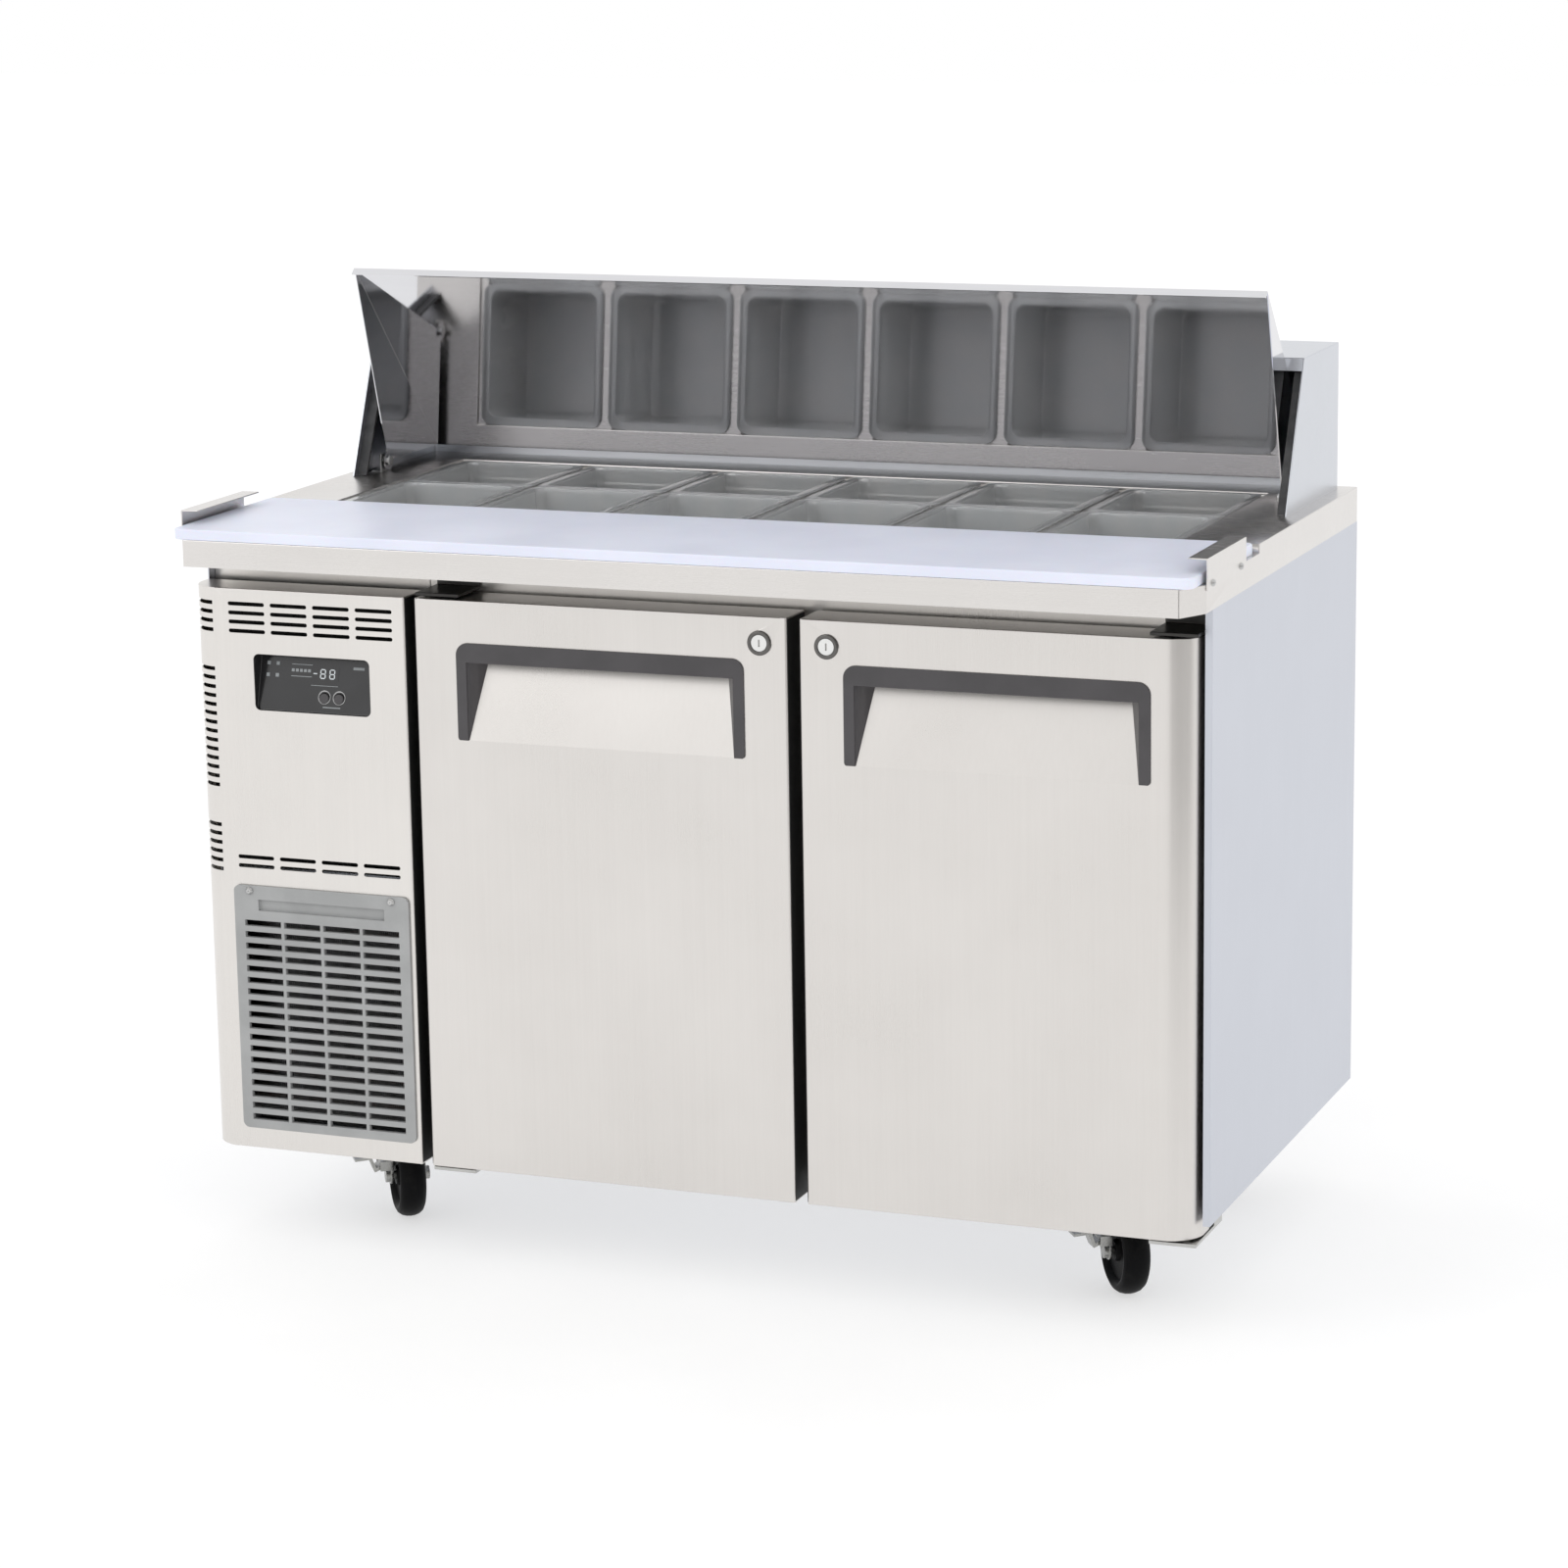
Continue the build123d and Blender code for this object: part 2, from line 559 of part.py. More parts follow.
face_normal = (0, -cos(radians(face_tilt)), sin(radians(face_tilt)))
inward_normal = tuple(-n for n in face_normal)
with BuildPart() as control_housing:
    block(
        (window_x[0] - housing_rim, window_x[1] + housing_rim),
        (door_face + sheet, door_face + housing_depth),
        (window_z[0] - housing_rim, window_z[1] + housing_rim),
    )
    pocket = [
        (door_face, window_z[0]),
        (face_y(window_z[0]), window_z[0]),
        (face_y(window_z[1]), window_z[1]),
        (door_face, window_z[1]),
    ]
    profile(Plane.YZ.offset(window_x[0]), pocket, window_width, Mode.SUBTRACT)
    for side in (-1, 1):
        x = button_x + side * button_pitch / 2
        mouth = (x, face_y(button_z) - 5, button_z + 5 * tan(radians(face_tilt)))
        rod(mouth, inward_normal, button_radius + button_clearance, 40, Mode.SUBTRACT)
keep(control_housing, "control_housing")

for name, side in (("button_left", -1), ("button_right", 1)):
    with BuildPart() as button:
        start = Vector(button_x + side * button_pitch / 2, face_y(button_z), button_z)
        start = start + Vector(*face_normal) * button_proud
        rod(start, inward_normal, button_radius, 9)
        fillet(button.edges().sort_by(Axis.Y)[0], 1.2)
    keep(button, name)

# ---------------------------------------------------------------- refrigeration machine
coil_y = (door_face + 30, door_face + 62)
coil_z = (under + 22, under + 260)
coil_x = (left + 32, panel_right - 14)
with BuildPart() as condenser_coil:
    block((coil_x[0], coil_x[0] + 2), coil_y, coil_z)
    block((coil_x[1] - 2, coil_x[1]), coil_y, coil_z)
    fin_pitch = 6.0
    fin_count = int((coil_x[1] - coil_x[0] - 4) / fin_pitch)
    with Locations(((coil_x[0] + coil_x[1]) / 2, sum(coil_y) / 2, sum(coil_z) / 2)):
        with GridLocations(fin_pitch, 1, fin_count, 1):
            Box(0.8, coil_y[1] - coil_y[0] - 4, coil_z[1] - coil_z[0] - 4)
    for number in range(8):
        tube_z = coil_z[0] + 16 + number * 29
        rod((coil_x[0] - 8, sum(coil_y) / 2, tube_z), (1, 0, 0), 4.8, coil_x[1] - coil_x[0] + 16)
    foot = (under + floor_sheet, coil_z[0] + 2)
    for x in coil_x:
        inner = x + 20 if x < machine_mid_x else x - 20
        block((min(x, inner), max(x, inner)), coil_y, (foot[0], foot[0] + 2))
        side = (x, x + 2) if x < machine_mid_x else (x - 2, x)
        block(side, coil_y, foot)
keep(condenser_coil, "condenser_coil")

fan_z = under + 140
fan_y = door_face + 96
fan_shaft = 4.0
fan_radius = machine_width / 2 - fan_side_margin
with BuildPart() as fan_motor:
    shroud_y = (coil_y[1] + 2, coil_y[1] + 4)
    block(coil_x, shroud_y, (under + floor_sheet, coil_z[1]))
    rod((machine_mid_x, shroud_y[0] - 1, fan_z), (0, 1, 0), fan_radius + 6, 10, Mode.SUBTRACT)
    rod((machine_mid_x, fan_y + 16, fan_z), (0, 1, 0), 34, 48)
    rod((machine_mid_x, fan_y - 14, fan_z), (0, 1, 0), fan_shaft, 40)
    strut_y = (fan_y + 40, fan_y + 44)
    block((coil_x[0] + 2, coil_x[1] - 2), strut_y, (fan_z - 12, fan_z + 12))
    for x in (coil_x[0] + 1, coil_x[1] - 4):
        block((x, x + 3), (shroud_y[0], strut_y[1]), (fan_z - 12, fan_z + 12))
keep(fan_motor, "fan_motor")

with BuildPart() as fan_blade:
    rod((machine_mid_x, fan_y - 12, fan_z), (0, 1, 0), 20, 24)
    for number in range(fan_blades):
        turn = number * 360 / fan_blades
        blade_plane = Plane(origin=(machine_mid_x, fan_y, fan_z), x_dir=(1, 0, 0), z_dir=(0, -1, 0))
        with Locations(blade_plane):
            with Locations(Location((0, 0, 0), (0, 0, turn))):
                with Locations(Location(((fan_radius + 14) / 2, 0, 0), (28, 0, 0))):
                    Box(fan_radius - 14, 46, 1.6)
    rod((machine_mid_x, fan_y - 20, fan_z), (0, 1, 0), fan_shaft + shaft_clearance, 50, Mode.SUBTRACT)
keep(fan_blade, "fan_blade")

can_radius, can_height = 78.0, 190.0
can_x, can_y = machine_mid_x - 8, 120.0
with BuildPart() as compressor:
    can_foot = under + floor_sheet + 14
    with BuildSketch(Plane.XY.offset(can_foot)) as can_plan:
        with Locations((can_x, can_y)):
            Circle(can_radius)
    extrude(amount=can_height)
    fillet(compressor.edges().group_by(Axis.Z)[-1], 40)
    fillet(compressor.edges().group_by(Axis.Z)[0], 14)
    block((can_x - 100, can_x + 100), (can_y - 70, can_y + 70), (can_foot, can_foot + 3))
    for x in (-84, 84):
        for y in (-54, 54):
            rod((can_x + x, can_y + y, under + floor_sheet), (0, 0, 1), 14, 15)
    rod((can_x + can_radius - 4, can_y, can_foot + 120), (1, 0, 0), 5, 22)
    rod((can_x, can_y - can_radius + 4, can_foot + 90), (0, -1, 0), 5, 26)
    terminal_box_y = (can_y + can_radius - 6, can_y + can_radius + 22)
    block((can_x - 30, can_x + 30), terminal_box_y, (can_foot + 60, can_foot + 120))
keep(compressor, "compressor")

evaporator_x = (cold_left + liner_sheet + 2, cold_left + liner_sheet + 52)
evaporator_y = (frame_back + 230, cold_back - 20)
evaporator_z = (shelf_z + 50, cold_ceiling - 10)
with BuildPart() as evaporator_coil:
    for z in (evaporator_z[0], evaporator_z[1] - 2):
        block(evaporator_x, evaporator_y, (z, z + 2))
    block((evaporator_x[0] - 2, evaporator_x[0] + 0.5), evaporator_y, evaporator_z)
    fin_count = int((evaporator_y[1] - evaporator_y[0]) / 9)
    with Locations((sum(evaporator_x) / 2, sum(evaporator_y) / 2, sum(evaporator_z) / 2)):
        with GridLocations(1, 9, 1, fin_count):
            Box(evaporator_x[1] - evaporator_x[0], 0.8, evaporator_z[1] - evaporator_z[0])
keep(evaporator_coil, "evaporator_coil")

with BuildPart() as wire_shelves:
    wire = 2.5
    shelf_y = (frame_back + 34, cold_back - 14)
    for start, end in ((cold_left + 6, mullion_x - 3), (mullion_x + 3, cold_right - 6)):
        rim_z = (shelf_z, shelf_z + 6)
        block((start, end), (shelf_y[0], shelf_y[0] + 6), rim_z)
        block((start, end), (shelf_y[1] - 6, shelf_y[1]), rim_z)
        block((start, start + 6), shelf_y, rim_z)
        block((end - 6, end), shelf_y, rim_z)
        block(((start + end) / 2 - 3, (start + end) / 2 + 3), shelf_y, (shelf_z, shelf_z + 5))
        wires = 16
        for number in range(1, wires):
            y = shelf_y[0] + (shelf_y[1] - shelf_y[0]) * number / wires
            block((start, end), (y - wire / 2, y + wire / 2), (shelf_z + 4, shelf_z + 4 + wire))
keep(wire_shelves, "wire_shelves")

# ---------------------------------------------------------------- doors
handle_z = (door_top - handle_top_inset - handle_height, door_top - handle_top_inset)
pocket_z = (handle_z[0], handle_z[1] - handle_bar)
handle_width = door_width - 2 * handle_side_inset
lock_z = door_top - lock_drop
gasket_z = (under + 4, door_top - gasket_inset)
liner_y = (door_face + door_thickness - liner_plate, door_face + door_thickness)


def pocket_wedge(x, grow, mode):
    """The finger recess: full height at the face, and only a line at its deep top edge."""
    mouth_z = (pocket_z[0] - grow, pocket_z[1] + grow)
    mid_x = (x[0] + x[1]) / 2
    with BuildSketch(Plane.XZ.offset(-door_face)) as mouth:
        with Locations((mid_x, sum(mouth_z) / 2)):
            Rectangle(x[1] - x[0] + 2 * grow, mouth_z[1] - mouth_z[0])
    with BuildSketch(Plane.XZ.offset(-door_face - pocket_depth - grow)) as bottom:
        with Locations((mid_x, mouth_z[1] - 0.25)):
            Rectangle(x[1] - x[0] + 2 * grow - 2 * pocket_slant, 0.5)
    loft([mouth.sketch.faces()[0], bottom.sketch.faces()[0]], ruled=True, mode=mode)


def door(name, x, lock_side, hinge_side, left_radius, right_radius):
    """One door: steel pan with its recess, inner plate, gasket, handle trim and lock."""
    center = (x[0] + x[1]) / 2
    trim_x = (center - handle_width / 2, center + handle_width / 2)
    pocket_x = (trim_x[0] + handle_leg, trim_x[1] - handle_leg)
    lock_x = x[1] - lock_inset if lock_side > 0 else x[0] + lock_inset
    hinge_x = x[1] - hinge_inset_x if hinge_side > 0 else x[0] + hinge_inset_x
    hinge_y = door_face + hinge_inset_y
    bore = pivot_radius + pin_clearance
    with BuildPart() as skin:
        front_tray(x, (door_bottom, door_top), door_thickness, left_radius, right_radius)
        pocket_wedge(pocket_x, sheet, Mode.ADD)
        pocket_wedge(pocket_x, 0, Mode.SUBTRACT)
        rod((lock_x, door_face, lock_z), (0, -1, 0), lock_ring_radius, lock_proud)
        plug_bore = lock_plug_radius + shaft_clearance
        rod((lock_x, door_face - 5, lock_z), (0, 1, 0), plug_bore, 12, Mode.SUBTRACT)
        rod((hinge_x, hinge_y, door_bottom - 1), (0, 0, 1), bore, 5, Mode.SUBTRACT)
        rod((hinge_x, hinge_y, door_top - 4), (0, 0, 1), bore, 5, Mode.SUBTRACT)
    keep(skin, f"{name}_skin")
    with BuildPart() as inner:
        inner_x = (x[0] + sheet, x[1] - sheet)
        block(inner_x, liner_y, (door_bottom + sheet, door_top - sheet))
        dike_x = (x[0] + 32, x[1] - 32)
        block(dike_x, (liner_y[1], liner_y[1] + 6), (cold_floor + 6, cold_ceiling - 6))
        pan_inside = (dike_x[0] + 6, dike_x[1] - 6)
        pan_z = (cold_floor + 12, cold_ceiling - 12)
        block(pan_inside, (liner_y[0] + 1.5, liner_y[1] + 7), pan_z, Mode.SUBTRACT)
    keep(inner, f"{name}_inner_plate")
    with BuildPart() as seal:
        seal_x = (x[0] + gasket_inset, x[1] - gasket_inset)
        seal_y = (liner_y[1], liner_y[1] + gasket_thickness)
        block(seal_x, seal_y, gasket_z)
        hole_x = (seal_x[0] + gasket_width, seal_x[1] - gasket_width)
        hole_z = (gasket_z[0] + gasket_width, gasket_z[1] - gasket_width)
        block(hole_x, (seal_y[0] - 1, seal_y[1] + 1), hole_z, Mode.SUBTRACT)
    keep(seal, f"{name}_gasket")
    with BuildPart() as trim:
        pocket_wedge(pocket_x, -0.05, Mode.ADD)
        keep_clear = (pocket_x[0] + trim_wall, pocket_x[1] - trim_wall)
        hollow_width, hollow_height = keep_clear[1] - keep_clear[0], pocket_z[1] - pocket_z[0] + 2
        hollow_center = (center, sum(pocket_z) / 2 - 1 - trim_wall)
        with BuildSketch(Plane.XZ.offset(-door_face + 1)) as mouth:
            with Locations(hollow_center):
                Rectangle(hollow_width, hollow_height)
        with BuildSketch(Plane.XZ.offset(-door_face - pocket_depth - 1)) as bottom:
            with Locations(hollow_center):
                Rectangle(hollow_width - 2 * pocket_slant, hollow_height)
        loft([mouth.sketch.faces()[0], bottom.sketch.faces()[0]], ruled=True, mode=Mode.SUBTRACT)
        with BuildSketch(Plane.XZ.offset(-door_face)) as face_ring:
            with Locations((center, sum(handle_z) / 2)):
                Rectangle(handle_width, handle_height)
            fillet(face_ring.vertices().group_by(Axis.Y)[-1], handle_corner)
            fillet(face_ring.vertices().group_by(Axis.Y)[0], handle_leg / 3)
            with Locations((center, pocket_z[1] - trim_wall)):
                opening = (keep_clear[1] - keep_clear[0], handle_height)
                Rectangle(*opening, align=(Align.CENTER, Align.MAX), mode=Mode.SUBTRACT)
        extrude(face_ring.sketch, amount=handle_proud)
    keep(trim, f"{name}_handle_trim")
    with BuildPart() as lock:
        rod((lock_x, door_face - lock_proud, lock_z), (0, 1, 0), lock_plug_radius, 30)
        keyway_y = (door_face - lock_proud - 1, door_face + 1)
        block((lock_x - 1, lock_x + 1), keyway_y, (lock_z - 4, lock_z + 4), Mode.SUBTRACT)
        block((lock_x - 6, lock_x + 6), (door_face + 25, door_face + 28), (lock_z - 6, lock_z + 20))
    keep(lock, f"{name}_lock_plug")
    return hinge_x, hinge_y


left_pivot = door("door_left", left_door, 1, -1, small_corner, small_corner)
right_pivot = door("door_right", right_door, -1, 1, small_corner, outer_corner)

with BuildPart() as door_hinge_brackets:
    for (x, y), outer_x in ((left_pivot, left_door[0]), (right_pivot, right_door[1])):
        toward = 1 if x > outer_x else -1
        plate_x = (outer_x, outer_x + toward * hinge_width)
        upper = (door_top + hinge_gap, door_top + hinge_gap + hinge_plate)
        lower = (door_bottom - hinge_gap - hinge_plate, door_bottom - hinge_gap)
        block((min(plate_x), max(plate_x)), (door_face + 4, frame_face), upper)
        block((min(plate_x), max(plate_x)), (frame_face - hinge_plate, frame_face), (upper[0], body_top))
        rod((x, y, upper[0]), (0, 0, -1), pivot_radius, hinge_gap + hinge_pin_reach)
        block((min(plate_x), max(plate_x)), (door_face + 4, frame_back + 30), lower)
        block((min(plate_x), max(plate_x)), (frame_back, frame_back + 30), (lower[0], under))
        rod((x, y, lower[1]), (0, 0, 1), pivot_radius, hinge_gap + hinge_pin_reach)
keep(door_hinge_brackets, "door_hinge_brackets")

# ---------------------------------------------------------------- casters
crown_z = 2 * wheel_radius + 6
mount_plate = 3.0
bearing_z = under - mount_plate - 1.0
caster_x = (left + caster_inset_left, right - caster_inset_right)
caster_front_y, caster_back_y = frame_back + caster_front_margin, back - caster_back_margin


def caster(name, x, y, turn, brake):
    """Swivel fork with its axle, wheel, and on the front casters the side brake."""
    roll = (sin(radians(turn)), -cos(radians(turn)), 0)
    outward = (-cos(radians(turn)), -sin(radians(turn)), 0)
    inboard = tuple(-v for v in outward)

    def at(along, out, z):
        """A point along the rolling direction and out to the caster's left side."""
        return (x + along * roll[0] + out * outward[0], y + along * roll[1] + out * outward[1], z)

    half = wheel_width / 2 + fork_gap
    lug = half + fork_sheet
    pin_z = wheel_radius + brake_rise
    with BuildPart() as fork:
        rod((x, y, crown_z), (0, 0, 1), 30, 4)
        rod((x, y, crown_z), (0, 0, 1), 23, bearing_z - crown_z)
        for side in (-1, 1):
            near = half if side > 0 else -half - fork_sheet
            leg_plane = Plane(origin=at(0, near, 0), x_dir=roll, z_dir=outward)
            with BuildSketch(leg_plane) as leg:
                Polygon(
                    (-24, crown_z + 4),
                    (caster_trail + 6, crown_z + 4),
                    (caster_trail + 9, wheel_radius),
                    (caster_trail - 9, wheel_radius),
                    align=None,
                )
                with Locations((caster_trail, wheel_radius)):
                    Circle(10)
            extrude(leg.sketch, amount=fork_sheet)
        bridge = Plane(origin=at(0, 0, crown_z), x_dir=roll, z_dir=(0, 0, 1))
        with BuildSketch(bridge) as bridge_plan:
            with Locations(((caster_trail - 18) / 2, 0)):
                Rectangle(caster_trail + 30, 2 * (half + fork_sheet))
        extrude(bridge_plan.sketch, amount=4)
        rod(at(caster_trail, -lug, wheel_radius), outward, axle_radius, 2 * lug)
        rod(at(caster_trail, lug, wheel_radius), outward, 8, 5)
        rod(at(caster_trail, -lug, wheel_radius), inboard, 8, 5)
        rod((x, y, crown_z - 1), (0, 0, 1), axle_radius + shaft_clearance, 40, Mode.SUBTRACT)
        if brake:
            for along in (caster_trail - 15, caster_trail + 12):
                ear_plane = Plane(origin=at(along, lug, 0), x_dir=outward, z_dir=roll)
                with BuildSketch(ear_plane) as ear:
                    with Locations((6, -pin_z)):
                        Rectangle(14, 12)
                extrude(ear.sketch, amount=3)
            rod(at(caster_trail - 15, lug + brake_reach, pin_z), roll, brake_pin_radius, 30)
    keep(fork, f"{name}_fork")
    with BuildPart() as wheel:
        rod(at(caster_trail, -wheel_width / 2, wheel_radius), outward, wheel_radius, wheel_width)
        fillet(wheel.edges().filter_by(GeomType.CIRCLE), wheel_edge)
        bore = axle_radius + shaft_clearance
        rod(at(caster_trail, -wheel_width, wheel_radius), outward, bore, 70, Mode.SUBTRACT)
    keep(wheel, f"{name}_wheel")
    if brake:
        with BuildPart() as lever:
            pin_out = lug + brake_reach
            rod(at(caster_trail - 11.5, pin_out, pin_z), roll, 2 * brake_pin_radius, 23)
            foot_plane = Plane(origin=at(caster_trail - 10, pin_out, pin_z), x_dir=outward, z_dir=roll)
            pedal = [(0, 3.5), (11, 8), (17, -8), (34, -7), (34, -10), (14.5, -11.5), (9, 3), (0, -3.5)]
            profile(foot_plane, pedal, 20)
            bore = brake_pin_radius + shaft_clearance
            rod(at(caster_trail - 20, pin_out, pin_z), roll, bore, 40, Mode.SUBTRACT)
        keep(lever, f"{name}_brake_lever")


with BuildPart() as caster_plates:
    for x in caster_x:
        for y in (caster_front_y, caster_back_y):
            block((x - 48, x + 48), (y - 36, y + 36), (under - mount_plate, under))
            rod((x, y, under), (0, 0, -1), axle_radius, under - crown_z - 2)
keep(caster_plates, "caster_plates")

for side_name, x in zip(("left", "right"), caster_x):
    caster(f"caster_front_{side_name}", x, caster_front_y, caster_turn_front, True)
    caster(f"caster_rear_{side_name}", x, caster_back_y, caster_turn_back, False)
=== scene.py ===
"""Looks of the two-door sandwich prep table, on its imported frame. Metres, +Z up, front at -Y."""
import json
import math

import bmesh
import bpy
from mathutils import Euler, Matrix, Vector

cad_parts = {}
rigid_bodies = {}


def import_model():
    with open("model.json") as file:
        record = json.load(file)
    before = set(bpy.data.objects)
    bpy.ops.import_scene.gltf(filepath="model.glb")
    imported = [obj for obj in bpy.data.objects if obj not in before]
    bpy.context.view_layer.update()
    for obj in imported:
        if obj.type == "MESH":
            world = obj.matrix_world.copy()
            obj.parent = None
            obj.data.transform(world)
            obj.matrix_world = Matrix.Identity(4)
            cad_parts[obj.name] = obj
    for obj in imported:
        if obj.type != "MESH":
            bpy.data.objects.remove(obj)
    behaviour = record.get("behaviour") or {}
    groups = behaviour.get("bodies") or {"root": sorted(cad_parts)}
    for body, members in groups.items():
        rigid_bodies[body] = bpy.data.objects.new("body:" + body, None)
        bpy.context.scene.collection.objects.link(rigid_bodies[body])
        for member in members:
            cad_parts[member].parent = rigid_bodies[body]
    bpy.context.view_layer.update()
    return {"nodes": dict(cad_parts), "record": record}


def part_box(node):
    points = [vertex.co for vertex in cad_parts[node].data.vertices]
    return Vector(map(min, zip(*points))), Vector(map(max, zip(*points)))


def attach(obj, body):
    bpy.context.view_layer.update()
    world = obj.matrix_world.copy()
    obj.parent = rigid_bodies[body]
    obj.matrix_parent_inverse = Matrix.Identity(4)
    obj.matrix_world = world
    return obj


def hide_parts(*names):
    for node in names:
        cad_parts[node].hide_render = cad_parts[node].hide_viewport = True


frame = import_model()
nodes = frame["nodes"]
MM = 0.001
FOLD_ANGLE = math.radians(34)  # gentler bends than this aren't rounded
LEAST_SPAN = 2.5  # a fold is rounded where both of its faces are this many widths deep


# ---------------------------------------------------------------- finishes: how a graph is written
class Wire:
    """One shader socket. Arithmetic on it adds Math nodes."""

    def __init__(self, finish, socket):
        self.finish = finish
        self.socket = socket

    def math(self, operation, first, second=0.0):
        return self.finish.node("ShaderNodeMath", {"operation": operation}, {0: first, 1: second})

    def __add__(self, other):
        return self.math("ADD", self, other)

    def __sub__(self, other):
        return self.math("SUBTRACT", self, other)

    def __mul__(self, other):
        return self.math("MULTIPLY", self, other)

    def __rsub__(self, other):
        return self.math("SUBTRACT", other, self)

    def __gt__(self, other):
        return self.math("GREATER_THAN", self, other)

    __radd__ = __add__
    __rmul__ = __mul__

    def ramp(self, low, high, to_low=0.0, to_high=1.0):
        """This value, taken smoothly from one range to another."""
        settings = {"interpolation_type": "SMOOTHSTEP", "clamp": True}
        values = {0: self, 1: low, 2: high, 3: to_low, 4: to_high}
        return self.finish.node("ShaderNodeMapRange", settings, values)


class Finish:
    """One node material. Constants go on the shader's own sockets."""

    def __init__(self, name, **constants):
        self.material = bpy.data.materials.new(name)
        self.material.use_nodes = True
        self.tree = self.material.node_tree
        self.shader = self.tree.nodes["Principled BSDF"]
        for socket, value in constants.items():
            self.shader.inputs[socket.replace("_", " ")].default_value = value

    def node(self, kind, settings=None, values=None, out=0):
        """Adds a node: its settings first, then the values or links of its sockets."""
        made = self.tree.nodes.new(kind)
        for setting, value in (settings or {}).items():
            setattr(made, setting, value)
        for socket, value in (values or {}).items():
            if isinstance(value, Wire):
                self.tree.links.new(value.socket, made.inputs[socket])
            else:
                made.inputs[socket].default_value = value
        return Wire(self, made.outputs[out])

    def place(self, scale=(1, 1, 1)):
        """The point on the object, stretched to lay a pattern."""
        point = self.node("ShaderNodeTexCoord", out="Object")
        return self.node("ShaderNodeMapping", None, {"Vector": point, "Scale": scale})

    def axis(self, letter):
        """One coordinate of the point on the object, in metres."""
        point = self.node("ShaderNodeTexCoord", out="Object")
        return self.node("ShaderNodeSeparateXYZ", None, {0: point}, letter)

    def noise(self, scale, stretch=(1, 1, 1), detail=3.0, roughness=0.55, distortion=0.0):
        values = {"Vector": self.place(stretch), "Scale": scale, "Detail": detail}
        values.update({"Roughness": roughness, "Distortion": distortion})
        return self.node("ShaderNodeTexNoise", None, values)

    def cells(self, scale, feature="F1", stretch=(1, 1, 1)):
        values = {"Vector": self.place(stretch), "Scale": scale}
        return self.node("ShaderNodeTexVoronoi", {"feature": feature}, values, "Distance")

    def blend(self, amount, first, second):
        """A colour between two, by an amount that changes over the surface."""
        ends = {6: first, 7: second}
        for socket, value in ends.items():
            if not isinstance(value, Wire):
                ends[socket] = (*value, 1.0)
        return self.node("ShaderNodeMix", {"data_type": "RGBA"}, {0: amount, **ends}, 2)

    def mottle(self, amount, first, second):
        self.feed("Base Color", self.blend(amount, first, second))

    def feed(self, socket, value):
        self.tree.links.new(value.socket, self.shader.inputs[socket])

    def bump(self, height, strength, depth):
        values = {"Strength": strength, "Distance": depth, "Height": height}
        self.feed("Normal", self.node("ShaderNodeBump", None, values))


def steel(name, light, dark, grain, roughness, spread, scratch=0.35):
    """Satin stainless sheet: long polishing grain, soft cloudiness and a few hairline marks."""
    finish = Finish(name, Metallic=1.0)
    stretch = tuple(0.012 if letter == grain else 1.0 for letter in "XYZ")
    lines = finish.noise(2600.0, stretch, 4.0, 0.7)
    broad = finish.noise(240.0, stretch, 2.0)
    cloud = finish.noise(5.0, (1, 1, 1), 3.0)
    hair = finish.noise(900.0, tuple(0.03 if letter == grain else 1.0 for letter in "XYZ"), 1.0)
    marks = hair.ramp(0.70, 0.76)
    shade = lines * 0.3 + broad * 0.15 + cloud * 0.55
    finish.mottle(shade.ramp(0.25, 0.75), dark, light)
    finish.feed("Roughness", cloud * spread + lines * (spread * 0.8) + marks * 0.05 + (roughness - spread))
    finish.bump(lines * 0.8 + marks * scratch, 0.12, 0.00006)
    return finish.material


def plastic(name, light, dark, roughness, grain_size, depth, coat=0.0):
    """Moulded plastic with a fine spark-eroded texture."""
    finish = Finish(name, Coat_Weight=coat, Coat_Roughness=0.12)
    pebble = finish.cells(1.0 / grain_size)
    cloud = finish.noise(18.0, (1, 1, 1), 4.0)
    finish.mottle(cloud.ramp(0.3, 0.7), dark, light)
    finish.feed("Roughness", cloud * 0.12 + pebble * 0.08 + (roughness - 0.1))
    finish.bump(pebble, 0.35, depth)
    return finish.material


def zinc_plate():
    finish = Finish("zinc_plate", Metallic=1.0)
    spangle = finish.node(
        "ShaderNodeTexVoronoi", None, {"Vector": finish.place(), "Scale": 260.0}, "Color"
    )
    tone = finish.node("ShaderNodeSeparateColor", None, {0: spangle})
    cloud = finish.noise(40.0)
    finish.mottle(tone * 0.5 + cloud * 0.5, (0.24, 0.24, 0.235), (0.46, 0.46, 0.44))
    finish.feed("Roughness", tone * 0.14 + cloud * 0.1 + 0.2)
    finish.bump(cloud, 0.2, 0.0002)
    return finish.material


def hinge_zinc():
    """Plated hinge plates: painted near-black as shade under the countertop, plain plated colour under the
    doors.
    """
    finish = Finish("hinge_zinc", Metallic=1.0)
    cloud = finish.noise(60.0, (1, 1, 1), 4.0)
    under_countertop = finish.axis("Z") > 0.4
    bright = finish.blend(cloud, (0.42, 0.42, 0.41), (0.60, 0.60, 0.58))
    # painted shade: the plates high up, under the countertop, take this near-black
    painted_shade = finish.blend(cloud, (0.035, 0.034, 0.033), (0.075, 0.073, 0.07))
    finish.mottle(under_countertop, bright, painted_shade)
    finish.feed("Roughness", cloud * 0.2 + 0.22)
    finish.bump(cloud, 0.2, 0.0002)
    return finish.material


def tyre_rubber():
    finish = Finish("caster_tyre", Specular_IOR_Level=0.08)
    dust = finish.noise(55.0, (1, 1, 1), 6.0, 0.65)
    pores = finish.cells(1900.0)
    finish.mottle(dust.ramp(0.45, 0.75), (0.003, 0.003, 0.0035), (0.008, 0.0078, 0.0075))
    finish.feed("Roughness", dust * 0.25 + 0.36)
    finish.bump(pores * 0.4 + dust * 0.6, 0.3, 0.00015)
    return finish.material


